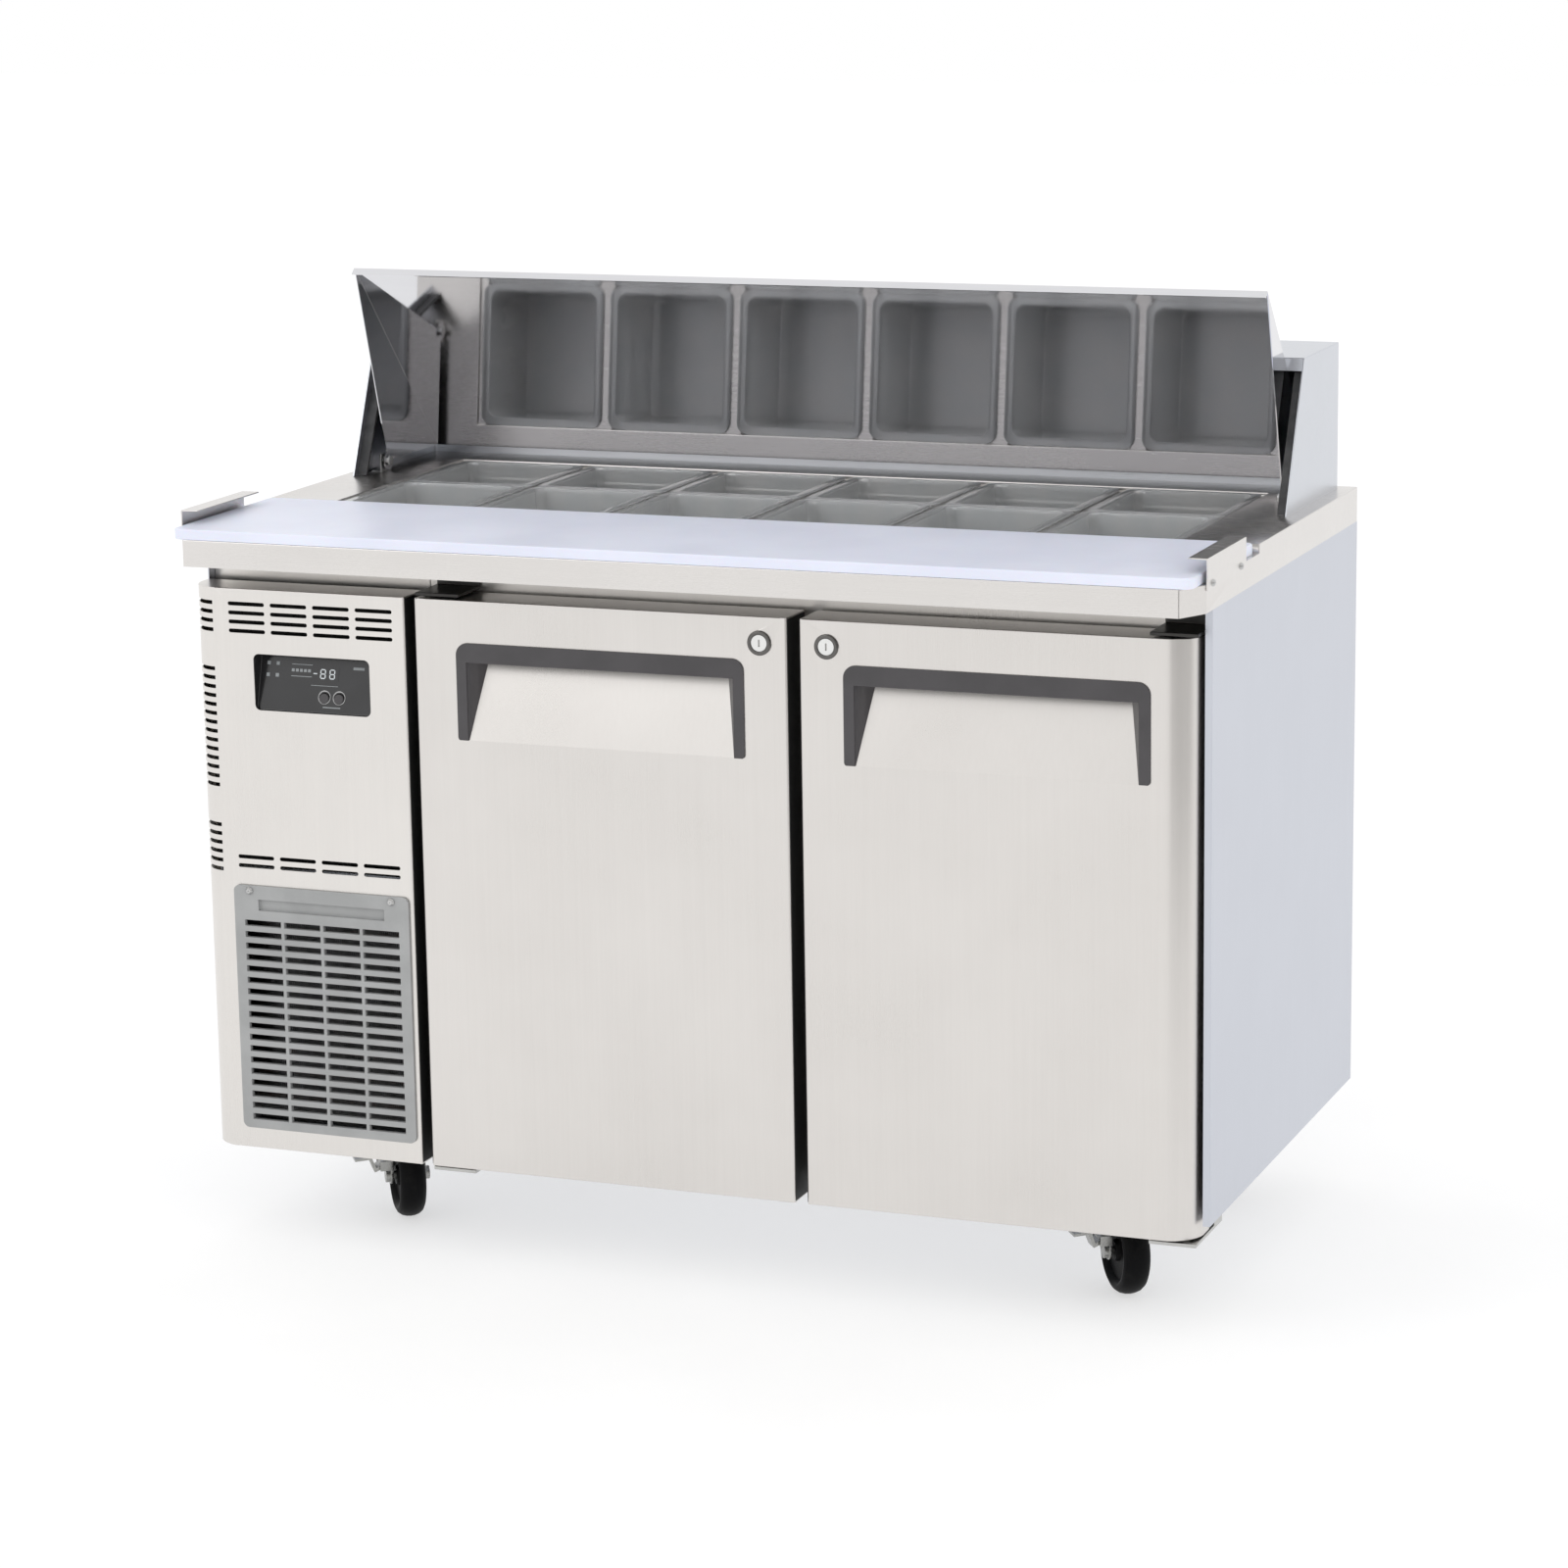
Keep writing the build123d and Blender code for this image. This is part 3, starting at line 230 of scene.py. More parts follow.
def cutting_plastic():
    """White polyethylene with the fine tooth of its planed top and the first knife marks."""
    finish = Finish("white_board", Subsurface_Weight=0.12, Subsurface_Scale=0.004)
    tooth = finish.noise(1400.0, (0.08, 1, 1), 3.0)
    cloud = finish.noise(7.0, (1, 1, 1), 4.0)
    knife = finish.noise(60.0, (0.35, 6.0, 1), 1.0, 0.3, 0.6)
    cuts = knife.ramp(0.735, 0.755) * finish.noise(9.0).ramp(0.5, 0.62)
    finish.mottle(cloud.ramp(0.3, 0.7), (0.71, 0.735, 0.85), (0.76, 0.785, 0.895))
    finish.feed("Roughness", tooth * 0.12 + cloud * 0.1 + 0.3)
    finish.bump(tooth * 0.5 - cuts, 0.25, 0.0001)
    return finish.material


def clear_plastic():
    """Clear polycarbonate with a faint moulding haze and wiping marks."""
    finish = Finish("clear_pan", Transmission_Weight=0.72, IOR=1.5)
    haze = finish.noise(30.0, (1, 1, 0.4), 4.0)
    wipes = finish.noise(260.0, (0.06, 1, 1), 2.0)
    finish.mottle(haze.ramp(0.3, 0.7), (0.93, 0.95, 0.96), (0.985, 0.99, 0.99))
    finish.feed("Roughness", haze * 0.1 + wipes * 0.06 + 0.02)
    finish.bump(haze, 0.1, 0.0002)
    return finish.material


def stucco_sheet():
    """Embossed aluminium lining."""
    finish = Finish("inner_steel", Metallic=1.0)
    pebble = finish.cells(260.0, "SMOOTH_F1")
    cloud = finish.noise(9.0)
    finish.mottle(cloud.ramp(0.3, 0.7), (0.60, 0.61, 0.62), (0.74, 0.74, 0.74))
    finish.feed("Roughness", pebble * 0.25 + cloud * 0.12 + 0.2)
    finish.bump(pebble, 0.6, 0.0006)
    return finish.material


def rigid_foam():
    finish = Finish("foam")
    pores = finish.cells(700.0)
    cloud = finish.noise(12.0, (1, 1, 1), 5.0)
    finish.mottle(cloud.ramp(0.3, 0.7), (0.66, 0.55, 0.30), (0.82, 0.73, 0.48))
    finish.feed("Roughness", pores * 0.2 + 0.75)
    finish.bump(pores * 0.5 + cloud * 0.5, 0.6, 0.0008)
    return finish.material


def black_enamel():
    finish = Finish("machine_black", Coat_Weight=0.6, Coat_Roughness=0.1)
    peel = finish.noise(300.0, (1, 1, 1), 2.0)
    dust = finish.noise(30.0, (1, 1, 0.6), 6.0)
    finish.mottle(dust.ramp(0.45, 0.75), (0.012, 0.012, 0.013), (0.05, 0.048, 0.045))
    finish.feed("Roughness", dust * 0.3 + 0.15)
    finish.bump(peel, 0.25, 0.0002)
    return finish.material


def copper():
    finish = Finish("copper_tube", Metallic=1.0)
    tarnish = finish.noise(45.0, (1, 1, 1), 5.0)
    finish.mottle(tarnish.ramp(0.35, 0.7), (0.72, 0.36, 0.22), (0.45, 0.22, 0.13))
    finish.feed("Roughness", tarnish * 0.3 + 0.15)
    finish.bump(tarnish, 0.15, 0.0001)
    return finish.material


def seal_rubber():
    finish = Finish("seal_rubber")
    bloom = finish.noise(60.0, (1, 1, 1), 4.0)
    pleat = finish.noise(1500.0)
    finish.mottle(bloom.ramp(0.35, 0.7), (0.028, 0.028, 0.03), (0.06, 0.06, 0.062))
    finish.feed("Roughness", bloom * 0.2 + 0.5)
    finish.bump(pleat, 0.3, 0.0001)
    return finish.material


def glowing(name, colour, strength):
    finish = Finish(name, Roughness=0.4, Emission_Strength=strength)
    dots = finish.noise(2500.0)
    shade = finish.blend(dots.ramp(0.2, 0.8), tuple(c * 0.8 for c in colour), colour)
    finish.feed("Base Color", shade)
    finish.feed("Emission Color", shade)
    finish.bump(dots, 0.1, 0.00005)
    return finish.material


recipes = {
    "door_steel": (steel, (0.720, 0.695, 0.670), (0.655, 0.630, 0.605), "Z", 0.30, 0.09),
    "panel_steel": (steel, (0.755, 0.730, 0.700), (0.690, 0.665, 0.640), "Z", 0.30, 0.09),
    "side_steel": (steel, (0.615, 0.635, 0.690), (0.565, 0.585, 0.640), "Z", 0.40, 0.10),
    "top_steel": (steel, (0.735, 0.710, 0.690), (0.670, 0.650, 0.630), "X", 0.28, 0.09),
    "hood_steel": (steel, (0.625, 0.645, 0.690), (0.570, 0.590, 0.630), "X", 0.30, 0.09),
    "mirror_steel": (steel, (0.74, 0.74, 0.76), (0.70, 0.70, 0.72), "X", 0.05, 0.028, 0.1),
    "screw_steel": (steel, (0.62, 0.62, 0.61), (0.45, 0.45, 0.45), "X", 0.3, 0.1),
    "lock_chrome": (steel, (0.80, 0.80, 0.79), (0.70, 0.70, 0.69), "X", 0.14, 0.05),
    "white_board": (cutting_plastic,),
    "clear_pan": (clear_plastic,),
    "caster_tyre": (tyre_rubber,),
    # door gaskets, and the dark lid end strips that paint the shade of their gap
    "zinc_plate": (zinc_plate,),
    "seal_rubber": (seal_rubber,),
    "dark_trim": (plastic, (0.060, 0.056, 0.060), (0.048, 0.045, 0.048), 0.42, 0.0006, 0.00006),
    "inner_white": (plastic, (0.84, 0.84, 0.82), (0.78, 0.78, 0.77), 0.35, 0.001, 0.00004, 0.1),
    "grey_grille": (plastic, (0.36, 0.365, 0.365), (0.31, 0.315, 0.315), 0.45, 0.0008, 0.00008),
    "black_plastic": (plastic, (0.014, 0.014, 0.016), (0.009, 0.009, 0.010), 0.2, 0.0005, 0.00003, 0.6),
    "panel_film": (plastic, (0.050, 0.052, 0.056), (0.036, 0.038, 0.042), 0.32, 0.0005, 0.00002, 0.3),
    "fan_plastic": (plastic, (0.030, 0.030, 0.032), (0.020, 0.020, 0.021), 0.42, 0.0008, 0.0001),
    "inner_steel": (stucco_sheet,),
    "coil_fins": (steel, (0.46, 0.46, 0.47), (0.30, 0.30, 0.31), "Z", 0.35, 0.1),
    "hinge_zinc": (hinge_zinc,),
    # near-black for the strips that paint the shade of the narrow gaps
    "dark_edge": (plastic, (0.012, 0.012, 0.012), (0.007, 0.007, 0.007), 0.55, 0.0006, 0.00004),
    # near-black and rough: painted shade of the machine bay behind the slots
    "bay_shade_black": (plastic, (0.010, 0.010, 0.010), (0.005, 0.005, 0.005), 0.9, 0.0012, 0.0003),
    "copper_tube": (copper,),
    "foam": (rigid_foam,),
    "machine_black": (black_enamel,),
    "coated_wire": (plastic, (0.82, 0.82, 0.81), (0.74, 0.74, 0.73), 0.3, 0.0006, 0.00003, 0.4),
    "display_light": (glowing, (0.62, 0.66, 0.68), 0.35),
    # printed icons and lines; their faint glow is painted light
    "icon_ink": (glowing, (0.30, 0.32, 0.33), 0.06),
    "icon_ring": (steel, (0.50, 0.50, 0.50), (0.40, 0.40, 0.40), "X", 0.25, 0.08),
    "lock_ring": (steel, (0.16, 0.155, 0.15), (0.12, 0.115, 0.11), "X", 0.28, 0.08),
}
NAMED = (steel, plastic, glowing)
finishes = {
    name: make(name, *values) if make in NAMED else make() for name, (make, *values) in recipes.items()
}


# ---------------------------------------------------------------- pieces: how they are made and placed
def smooth(thing, angle=35):
    """Rounds the shading of gentle bends and keeps flat faces flat."""
    for face in thing.data.polygons:
        face.use_smooth = True
    thing.data.set_sharp_from_angle(angle=math.radians(angle))
    weigh = thing.modifiers.new("weigh", "WEIGHTED_NORMAL")
    weigh.keep_sharp = True
    settle(thing)


def settle(thing):
    """Turns an object's modifiers into plain mesh."""
    kept = list(thing.data.materials)
    result = bpy.data.meshes.new_from_object(thing.evaluated_get(bpy.context.evaluated_depsgraph_get()))
    thing.modifiers.clear()
    thing.data = result
    result.materials.clear()
    for material in kept:
        result.materials.append(material)


def piece(name, form, finish, body, stands_for=(), angle=35):
    """Makes an object from a bmesh, gives it its finish and sets it on its CAD body."""
    mesh = bpy.data.meshes.new(name)
    form.to_mesh(mesh)
    form.free()
    thing = bpy.data.objects.new(name, mesh)
    bpy.context.scene.collection.objects.link(thing)
    mesh.materials.append(finishes[finish])
    smooth(thing, angle)
    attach(thing, body)
    if stands_for:
        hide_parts(*stands_for)
    return thing


def span(face, edge):
    """How far a face reaches from one of its edges."""
    start = edge.verts[0].co
    along = (edge.verts[1].co - start).normalized()
    return max(((v.co - start) - along * (v.co - start).dot(along)).length for v in face.verts)


def softened(node, finish, body, width, segments=3):
    """A CAD node's own shape with its wide folds rounded, shown in the node's place."""
    form = bmesh.new()
    form.from_mesh(nodes[node].data)
    bmesh.ops.remove_doubles(form, verts=form.verts, dist=1e-5)
    wide = []
    for edge in form.edges:
        if len(edge.link_faces) != 2 or edge.calc_face_angle(0.0) < FOLD_ANGLE:
            continue
        if min(span(face, edge) for face in edge.link_faces) > LEAST_SPAN * width:
            wide.append(edge)
    rounding = {"offset": width, "segments": segments, "profile": 0.5, "affect": "EDGES"}
    bmesh.ops.bevel(form, geom=wide, clamp_overlap=False, **rounding)
    return piece(f"{node}_finish", form, finish, body, (node,))


def turned(outline, center, axis, steps=48):
    """A closed outline of (radius, along) points turned about an axis."""
    form = bmesh.new()
    turn = Vector((0, 0, 1)).rotation_difference(Vector(axis)).to_matrix()
    rings = []
    for radius, along in outline:
        ring = []
        for step in range(steps):
            angle = 2 * math.pi * step / steps
            point = Vector((radius * math.cos(angle), radius * math.sin(angle), along))
            ring.append(form.verts.new(turn @ point + Vector(center)))
        rings.append(ring)
    count = len(rings)
    for number in range(count):
        first, second = rings[number], rings[(number + 1) % count]
        for step in range(steps):
            after = (step + 1) % steps
            form.faces.new((first[step], first[after], second[after], second[step]))
    bmesh.ops.remove_doubles(form, verts=form.verts, dist=1e-6)
    bmesh.ops.recalc_face_normals(form, faces=form.faces)
    return form


def slab(form, low, high, matrix=None):
    """Adds a box between two corners to a bmesh."""
    low, high = Vector(low), Vector(high)
    made = bmesh.ops.create_cube(form, size=1.0)["verts"]
    for vertex in made:
        vertex.co = Vector(c * s for c, s in zip(vertex.co, high - low)) + (low + high) / 2
        if matrix:
            vertex.co = matrix @ vertex.co
    return made


body_of = {}
for body, members in frame["record"]["behaviour"]["bodies"].items():
    for member in members:
        body_of[member] = body
slot_of = {part["node"]: part["material_slot"] for part in frame["record"]["subparts"]}

# ---------------------------------------------------------------- CAD shapes, fold widths in mm
sheets = {
    "side_panel_right": ("side_steel", 0.5), "side_panel_left": ("side_steel", 0.5),
    "back_panel": ("side_steel", 0.5), "machine_panel": ("panel_steel", 0.9),
    "door_left_skin": ("door_steel", 1.0), "door_right_skin": ("door_steel", 1.0),
    "countertop": ("top_steel", 1.2), "hood_housing": ("hood_steel", 1.4),
    "lid_shell": ("mirror_steel", 0.5), "front_frame": ("panel_steel", 0.6),
    "board_brackets": ("top_steel", 0.6), "divider_bars": ("top_steel", 1.0),
    "door_hinge_brackets": ("hinge_zinc", 0.8), "lid_hinge_brackets": ("screw_steel", 0.5),
    "control_housing": ("black_plastic", 0.8), "intake_grille": ("grey_grille", 0.5),
    "door_left_handle_trim": ("dark_trim", 0.6), "door_right_handle_trim": ("dark_trim", 0.6),
    "door_left_inner_plate": ("inner_white", 1.0), "door_right_inner_plate": ("inner_white", 1.0),
    "door_left_gasket": ("seal_rubber", 2.0), "door_right_gasket": ("seal_rubber", 2.0),
    "cutting_board": ("white_board", 0.4), "caster_plates": ("zinc_plate", 0.6),
    "fan_motor": ("machine_black", 0.6), "inner_liner": ("inner_steel", 0.5),
}
for node, (finish, width) in sheets.items():
    softened(node, finish, body_of[node], width * MM)
for number in range(1, 7):
    for row in ("front", "rear"):
        node = f"pan_{row}_{number}"
        softened(node, "clear_pan", body_of[node], 0.9 * MM, 2)

# ---------------------------------------------------------------- Geometry Nodes: what repeats
class Tree:
    """A Geometry Nodes tree with named number inputs."""

    def __init__(self, name, **sizes):
        self.tree = bpy.data.node_groups.new(name, "GeometryNodeTree")
        face = self.tree.interface
        face.new_socket("Geometry", in_out="OUTPUT", socket_type="NodeSocketGeometry")
        face.new_socket("Geometry", in_out="INPUT", socket_type="NodeSocketGeometry")
        kinds = {int: "NodeSocketInt", float: "NodeSocketFloat", tuple: "NodeSocketVector"}
        self.ids = {}
        for label, value in sizes.items():
            self.ids[label] = face.new_socket(label, socket_type=kinds[type(value)]).identifier
        self.sizes = sizes
        self.entry = self.tree.nodes.new("NodeGroupInput")

    def size(self, label):
        return self.entry.outputs[label]

    def node(self, kind, values=None, out=0):
        made = self.tree.nodes.new(kind)
        for socket, value in (values or {}).items():
            if isinstance(value, bpy.types.NodeSocket):
                self.tree.links.new(value, made.inputs[socket])
            else:
                made.inputs[socket].default_value = value
        return made.outputs[out]

    def join(self, *parts):
        made = self.tree.nodes.new("GeometryNodeJoinGeometry")
        for part in parts:
            self.tree.links.new(part, made.inputs[0])
        return made.outputs[0]

    def grow(self, result, name, finish, body, places=((0, 0, 0),), stands_for=()):
        """Realises the tree on its points, and makes the result a plain piece on a body."""
        realised = self.node("GeometryNodeRealizeInstances", {0: result})
        painted = self.node("GeometryNodeSetMaterial", {0: realised, "Material": finishes[finish]})
        exit_node = self.tree.nodes.new("NodeGroupOutput")
        self.tree.links.new(painted, exit_node.inputs[0])
        mesh = bpy.data.meshes.new(name)
        mesh.from_pydata([Vector(place) for place in places], [], [])
        thing = bpy.data.objects.new(name, mesh)
        bpy.context.scene.collection.objects.link(thing)
        maker = thing.modifiers.new("maker", "NODES")
        maker.node_group = self.tree
        for label, value in self.sizes.items():
            maker[self.ids[label]] = value
        thing.data.materials.append(finishes[finish])
        settle(thing)
        thing.data.set_sharp_from_angle(angle=math.radians(35))
        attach(thing, body)
        if stands_for:
            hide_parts(*stands_for)
        return thing


def screws(name, places, turn, radius, height, stands_for=()):
    """Tapered screw heads with a thin driver cross, all facing one way, the head's foot on its point."""
    sizes = {"radius": radius, "crown": radius * 0.62, "height": height}
    tree = Tree(name, **sizes, turn=turn, bar=(radius, radius * 0.22, height))
    points = tree.node("GeometryNodeMeshToPoints", {0: tree.size("Geometry")})
    cone = {"Vertices": 20, "Radius Top": tree.size("crown"), "Radius Bottom": tree.size("radius")}
    head = tree.node("GeometryNodeMeshCone", {**cone, "Depth": tree.size("height")})
    bar = tree.node("GeometryNodeMeshCube", {"Size": tree.size("bar")})
    slotted = tree.node("GeometryNodeTransform", {0: bar, "Translation": (0, 0, height * 0.52)})
    cross = tree.node("GeometryNodeTransform", {0: slotted, "Rotation": (0, 0, math.pi / 2)})
    whole = tree.join(head, slotted, cross)
    spread = {0: points, "Instance": whole, "Rotation": tree.size("turn")}
    heads = tree.node("GeometryNodeInstanceOnPoints", spread)
    return tree.grow(heads, name, "screw_steel", "cabinet", places, stands_for)


def fins(name, low, high, pitch, along, finish, thickness=0.0003):
    """A pack of thin fins between two corners, spaced along X or Y."""
    low, high = Vector(low), Vector(high)
    size = high - low
    count = int(size[along] / pitch)
    sheet = list(size)
    sheet[along] = thickness
    step = [0.0, 0.0, 0.0]
    step[along] = size[along] / count
    start = (low + high) / 2
    start[along] = low[along] + step[along] / 2
    tree = Tree(name, count=count, step=tuple(step), start=tuple(start), sheet=tuple(sheet))
    line = {"Count": tree.size("count"), "Start Location": tree.size("start"), "Offset": tree.size("step")}
    points = tree.node("GeometryNodeMeshLine", line)
    plate = tree.node("GeometryNodeMeshCube", {"Size": tree.size("sheet")})
    spread = tree.node("GeometryNodeInstanceOnPoints", {0: points, "Instance": plate})
    return tree.grow(spread, name, finish, "cabinet")


def wires(name, start, step, count, length, axis_turn, radius, finish):
    """Equal round wires side by side."""
    tree = Tree(name, count=count, step=tuple(step), start=tuple(start), radius=radius, length=length)
    line = {"Count": tree.size("count"), "Start Location": tree.size("start"), "Offset": tree.size("step")}
    points = tree.node("GeometryNodeMeshLine", line)
    round_bar = {"Vertices": 8, "Radius": tree.size("radius"), "Depth": tree.size("length")}
    bar = tree.node("GeometryNodeMeshCylinder", round_bar)
    spread = {0: points, "Instance": bar, "Rotation": axis_turn}
    return tree.grow(tree.node("GeometryNodeInstanceOnPoints", spread), name, finish, "cabinet")


def tube(form, points, radius, sides=10):
    """Adds a round tube along a run of points to a bmesh."""
    points = [Vector(point) for point in points]
    rings = []
    for number, point in enumerate(points):
        before, after = points[max(number - 1, 0)], points[min(number + 1, len(points) - 1)]
        turn = Vector((0, 0, 1)).rotation_difference((after - before).normalized())
        ring = []
        for side in range(sides):
            angle = 2 * math.pi * side / sides
            out = Vector((radius * math.cos(angle), radius * math.sin(angle), 0))
            ring.append(form.verts.new(turn @ out + point))
        rings.append(ring)
    for first, second in zip(rings, rings[1:]):
        for side in range(sides):
            after = (side + 1) % sides
            form.faces.new((first[side], first[after], second[after], second[side]))
    form.faces.new(reversed(rings[0]))
    form.faces.new(rings[-1])


# ---------------------------------------------------------------- door locks
panel_low, panel_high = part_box("machine_panel")
face = panel_low[1]
for side in ("left", "right"):
    low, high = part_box(f"door_{side}_lock_plug")
    center = ((low[0] + high[0]) / 2, face, low[2] + 9.05 * MM)
    ring = [(9.3, 0.2), (9.3, 2.0), (9.9, 2.7), (11.6, 3.0), (13.2, 2.6), (13.8, 1.6), (13.8, 0.2)]
    outline = [(radius * MM, along * MM) for radius, along in ring]
    piece(f"lock_ring_{side}", turned(outline, center, (0, -1, 0)), "lock_ring", f"door_{side}", angle=50)

# ---------------------------------------------------------------- painted shade: dark gap strips, a dark sheet behind the bay, dark lid end strips
# painted shade: near-black strips on the door sides that face the narrow gaps
for side, sides in (("left", (0, 1)), ("right", (0,))):
    low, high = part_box(f"door_{side}_skin")
    form = bmesh.new()
    for end in sides:
        x = (low[0], high[0])[end]
        out = (-0.0004, 0.0004)[end]
        start, finish_x = sorted((x - out / 4, x + out))
        slab(form, (start, face + 0.0022, low[2] + 0.002), (finish_x, face + 0.0545, high[2] - 0.002))
    piece(f"door_gap_shade_{side}", form, "dark_edge", f"door_{side}")
# painted shade: a near-black strip on the machine panel's side fold, in the gap beside the left door
form = bmesh.new()
slab(
    form,
    (panel_high[0] - 0.0001, face + 0.0022, panel_low[2] + 0.002),
    (panel_high[0] + 0.0004, face + 0.0495, panel_high[2] - 0.002),
)
piece("panel_gap_shade", form, "dark_edge", "cabinet")
# painted shade: a near-black sheet just behind the machine panel, above the grille, so its slots read as
# the shaded bay
form = bmesh.new()
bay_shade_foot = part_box("intake_grille")[1][2] + 0.012
bay_shade_top = (panel_high[0] - 0.003, face + 0.043, panel_high[2] - 0.003)
slab(form, (panel_low[0] + 0.004, face + 0.040, bay_shade_foot), bay_shade_top)
piece("bay_shade_sheet", form, "bay_shade_black", "cabinet")
hood_low, hood_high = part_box("hood_housing")
lid_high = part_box("lid_shell")[1]
# painted shade: dark rubber strips fill the gap between each lid end and the hood side, for the deep shade
# there
for side in (-1, 1):
    form = bmesh.new()
    edge = [(hood_low[1] + 0.010, hood_low[2] + 0.001), (hood_low[1] + 0.0805, hood_high[2] - 0.017)]
    tread = [(y, z) for y, z in edge] + [(y + 0.004, z) for y, z in reversed(edge)]
    rings = []
    for x in (side * (lid_high[0] + 0.0060), side * (hood_high[0] - 0.0012)):
        rings.append([form.verts.new((x, y, z)) for y, z in tread])
    for number in range(4):
        after = (number + 1) % 4
        form.faces.new((rings[0][number], rings[0][after], rings[1][after], rings[1][number]))
    form.faces.new(rings[0])
    form.faces.new(reversed(rings[1]))
    bmesh.ops.recalc_face_normals(form, faces=form.faces)
    piece("lid_gap_shade_" + ("right" if side > 0 else "left"), form, "seal_rubber", "cabinet")

# ---------------------------------------------------------------- control face
housing_low, housing_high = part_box("control_housing")
rim = 6.0 * MM
window = [(housing_low[0] + rim, housing_high[0] - rim), (housing_low[2] + rim, housing_high[2] - rim)]
face_inset, face_rise, face_run = 5 * MM, 17 * MM, 65 * MM
tilt = math.atan2(face_rise, face_run)
face_foot = Matrix.Translation((window[0][0], face + face_inset, window[1][0]))
face_frame = face_foot @ Matrix.Rotation(-tilt, 4, "X")
face_width = window[0][1] - window[0][0]
face_height = (window[1][1] - window[1][0]) / math.cos(tilt)


def printed(form, x, z, width, height, proud=0.00025):
    """Adds a flat mark to the tilted face, from its middle, in shares of the face."""
    x, z = x * face_width, z * face_height
    slab(form, (x - width / 2, -proud, z - height / 2), (x + width / 2, 0.0001, z + height / 2), face_frame)


lens_form = bmesh.new()
printed(lens_form, 0.565, 0.66, 34 * MM, 16 * MM, 0.0002)
piece("display_lens", lens_form, "black_plastic", "cabinet")
digits = bmesh.new()
strokes = {
    "-": "g",
    "8": "abcdefg",
}
stroke_places = {
    "a": (0, 1, True), "d": (0, -1, True), "g": (0, 0, True),
    "b": (1, 0.5, False), "c": (1, -0.5, False), "e": (-1, -0.5, False), "f": (-1, 0.5, False),
}
for sign, start in (("-", 0.478), ("8", 0.545), ("8", 0.625)):
    for stroke in strokes[sign]:
        across, up, flat = stroke_places[stroke]
        x = start + across * 2.9 * MM / face_width
        z = 0.66 + up * 5.0 * MM / face_height
        if flat:
            printed(digits, x, z, 4.6 * MM, 1.1 * MM, 0.0004)
        else:
            printed(digits, x, z, 1.1 * MM, 4.0 * MM, 0.0004)
piece("display_digits", digits, "display_light", "cabinet")
# printed marks; their finish adds a faint glow as painted light
marks = bmesh.new()
for number in range(5):
    printed(marks, 0.285 + number * 0.035, 0.70, 3.6 * MM, 3.4 * MM)
for x, z, width, height in (
    (0.07, 0.80, 4, 4), (0.07, 0.60, 4, 4), (0.15, 0.80, 4, 4), (0.15, 0.60, 4, 4), (0.36, 0.80, 26, 0.8),
    (0.36, 0.60, 26, 0.8), (0.85, 0.78, 14, 3.0), (0.64, 0.10, 22, 1.2), (0.565, 0.46, 34, 0.6),
):
    printed(marks, x, z, width * MM, height * MM)
piece("control_marks", marks, "icon_ink", "cabinet")
for side in ("left", "right"):
    low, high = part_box(f"button_{side}")
    x = (low[0] + high[0]) / 2
    out = Vector((0, -math.cos(tilt), math.sin(tilt)))
    height = low[2] + (high[2] - low[2]) / 2 + 2.2 * MM
    share = (height - window[1][0]) / (window[1][1] - window[1][0])
    seat = Vector((x, face + face_inset + share * face_rise, height))
    ring = [(6.7, -0.3), (6.7, 0.5), (7.2, 0.8), (7.9, 0.5), (7.9, -0.3)]
    outline = [(radius * MM, along * MM) for radius, along in ring]
    piece(f"button_ring_{side}", turned(outline, seat, out, 32), "icon_ring", "cabinet", angle=50)

# ---------------------------------------------------------------- casters
half_wheel = [
    (5.1, -14), (11, -14), (12, -12.5), (13, -9), (33, -9), (35, -12), (38, -15.2), (41, -15.6),
    (45, -13.6), (48, -9.6), (49.5, -4.5),
]
wheel_outline = half_wheel + [(49.9, 0)] + [(radius, -along) for radius, along in reversed(half_wheel)]
for where, turn in (("front", 36.0), ("rear", 8.0)):
    for side in ("left", "right"):
        node = f"caster_{where}_{side}_wheel"
        low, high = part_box(node)
        middle = tuple((a + b) / 2 for a, b in zip(low, high))
        angle = math.radians(turn)
        axle = (-math.cos(angle), -math.sin(angle), 0)
        outline = [(radius * MM, along * MM) for radius, along in wheel_outline]
        form = turned(outline, middle, axle, 64)
        piece(f"{node}_tyre", form, "caster_tyre", node, (node,), 40)
        caster = f"caster_{where}_{side}"
        softened(f"{caster}_fork", "zinc_plate", caster, 0.5 * MM, 2)

# ---------------------------------------------------------------- screws
low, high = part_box("panel_screws")
grille_low, grille_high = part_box("intake_grille")
grille_screw_z = grille_high[2] - 6 * MM
grille_screw_x = (grille_low[0] + 20.5 * MM, grille_high[0] - 21.5 * MM)
grille_places = [(x, grille_low[1] - 1.2 * MM, grille_screw_z) for x in grille_screw_x]
bracket_z = panel_high[2] + 59 * MM
head_radius, head_height = 4.3 * MM, 2.4 * MM
screws("grille_screws", grille_places, (math.pi / 2, 0, 0), head_radius, head_height)
for side, turn in ((-1, -math.pi / 2), (1, math.pi / 2)):
    places = [(side * (high[0] - 2.45 * MM), face + y * MM, bracket_z) for y in (16.4, 123.6)]
    name = "bracket_screws_" + ("right" if side > 0 else "left")
    stands_for, slot = (("panel_screws",), "screw_steel") if side > 0 else ((), None)
    screws(name, places, (0, turn, 0), head_radius, head_height, stands_for)
back_low, back_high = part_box("back_panel")
back_y = back_high[1] - 1.5 * MM
edge_z = (back_low[2] + 0.022, back_high[2] - 0.022)
back_places = [(x, back_y, z) for x in (-0.56, -0.28, 0.0, 0.28, 0.56) for z in edge_z]
back_places += [(x, back_y, z) for z in (0.30, 0.46, 0.62) for x in (-0.585, 0.585)]

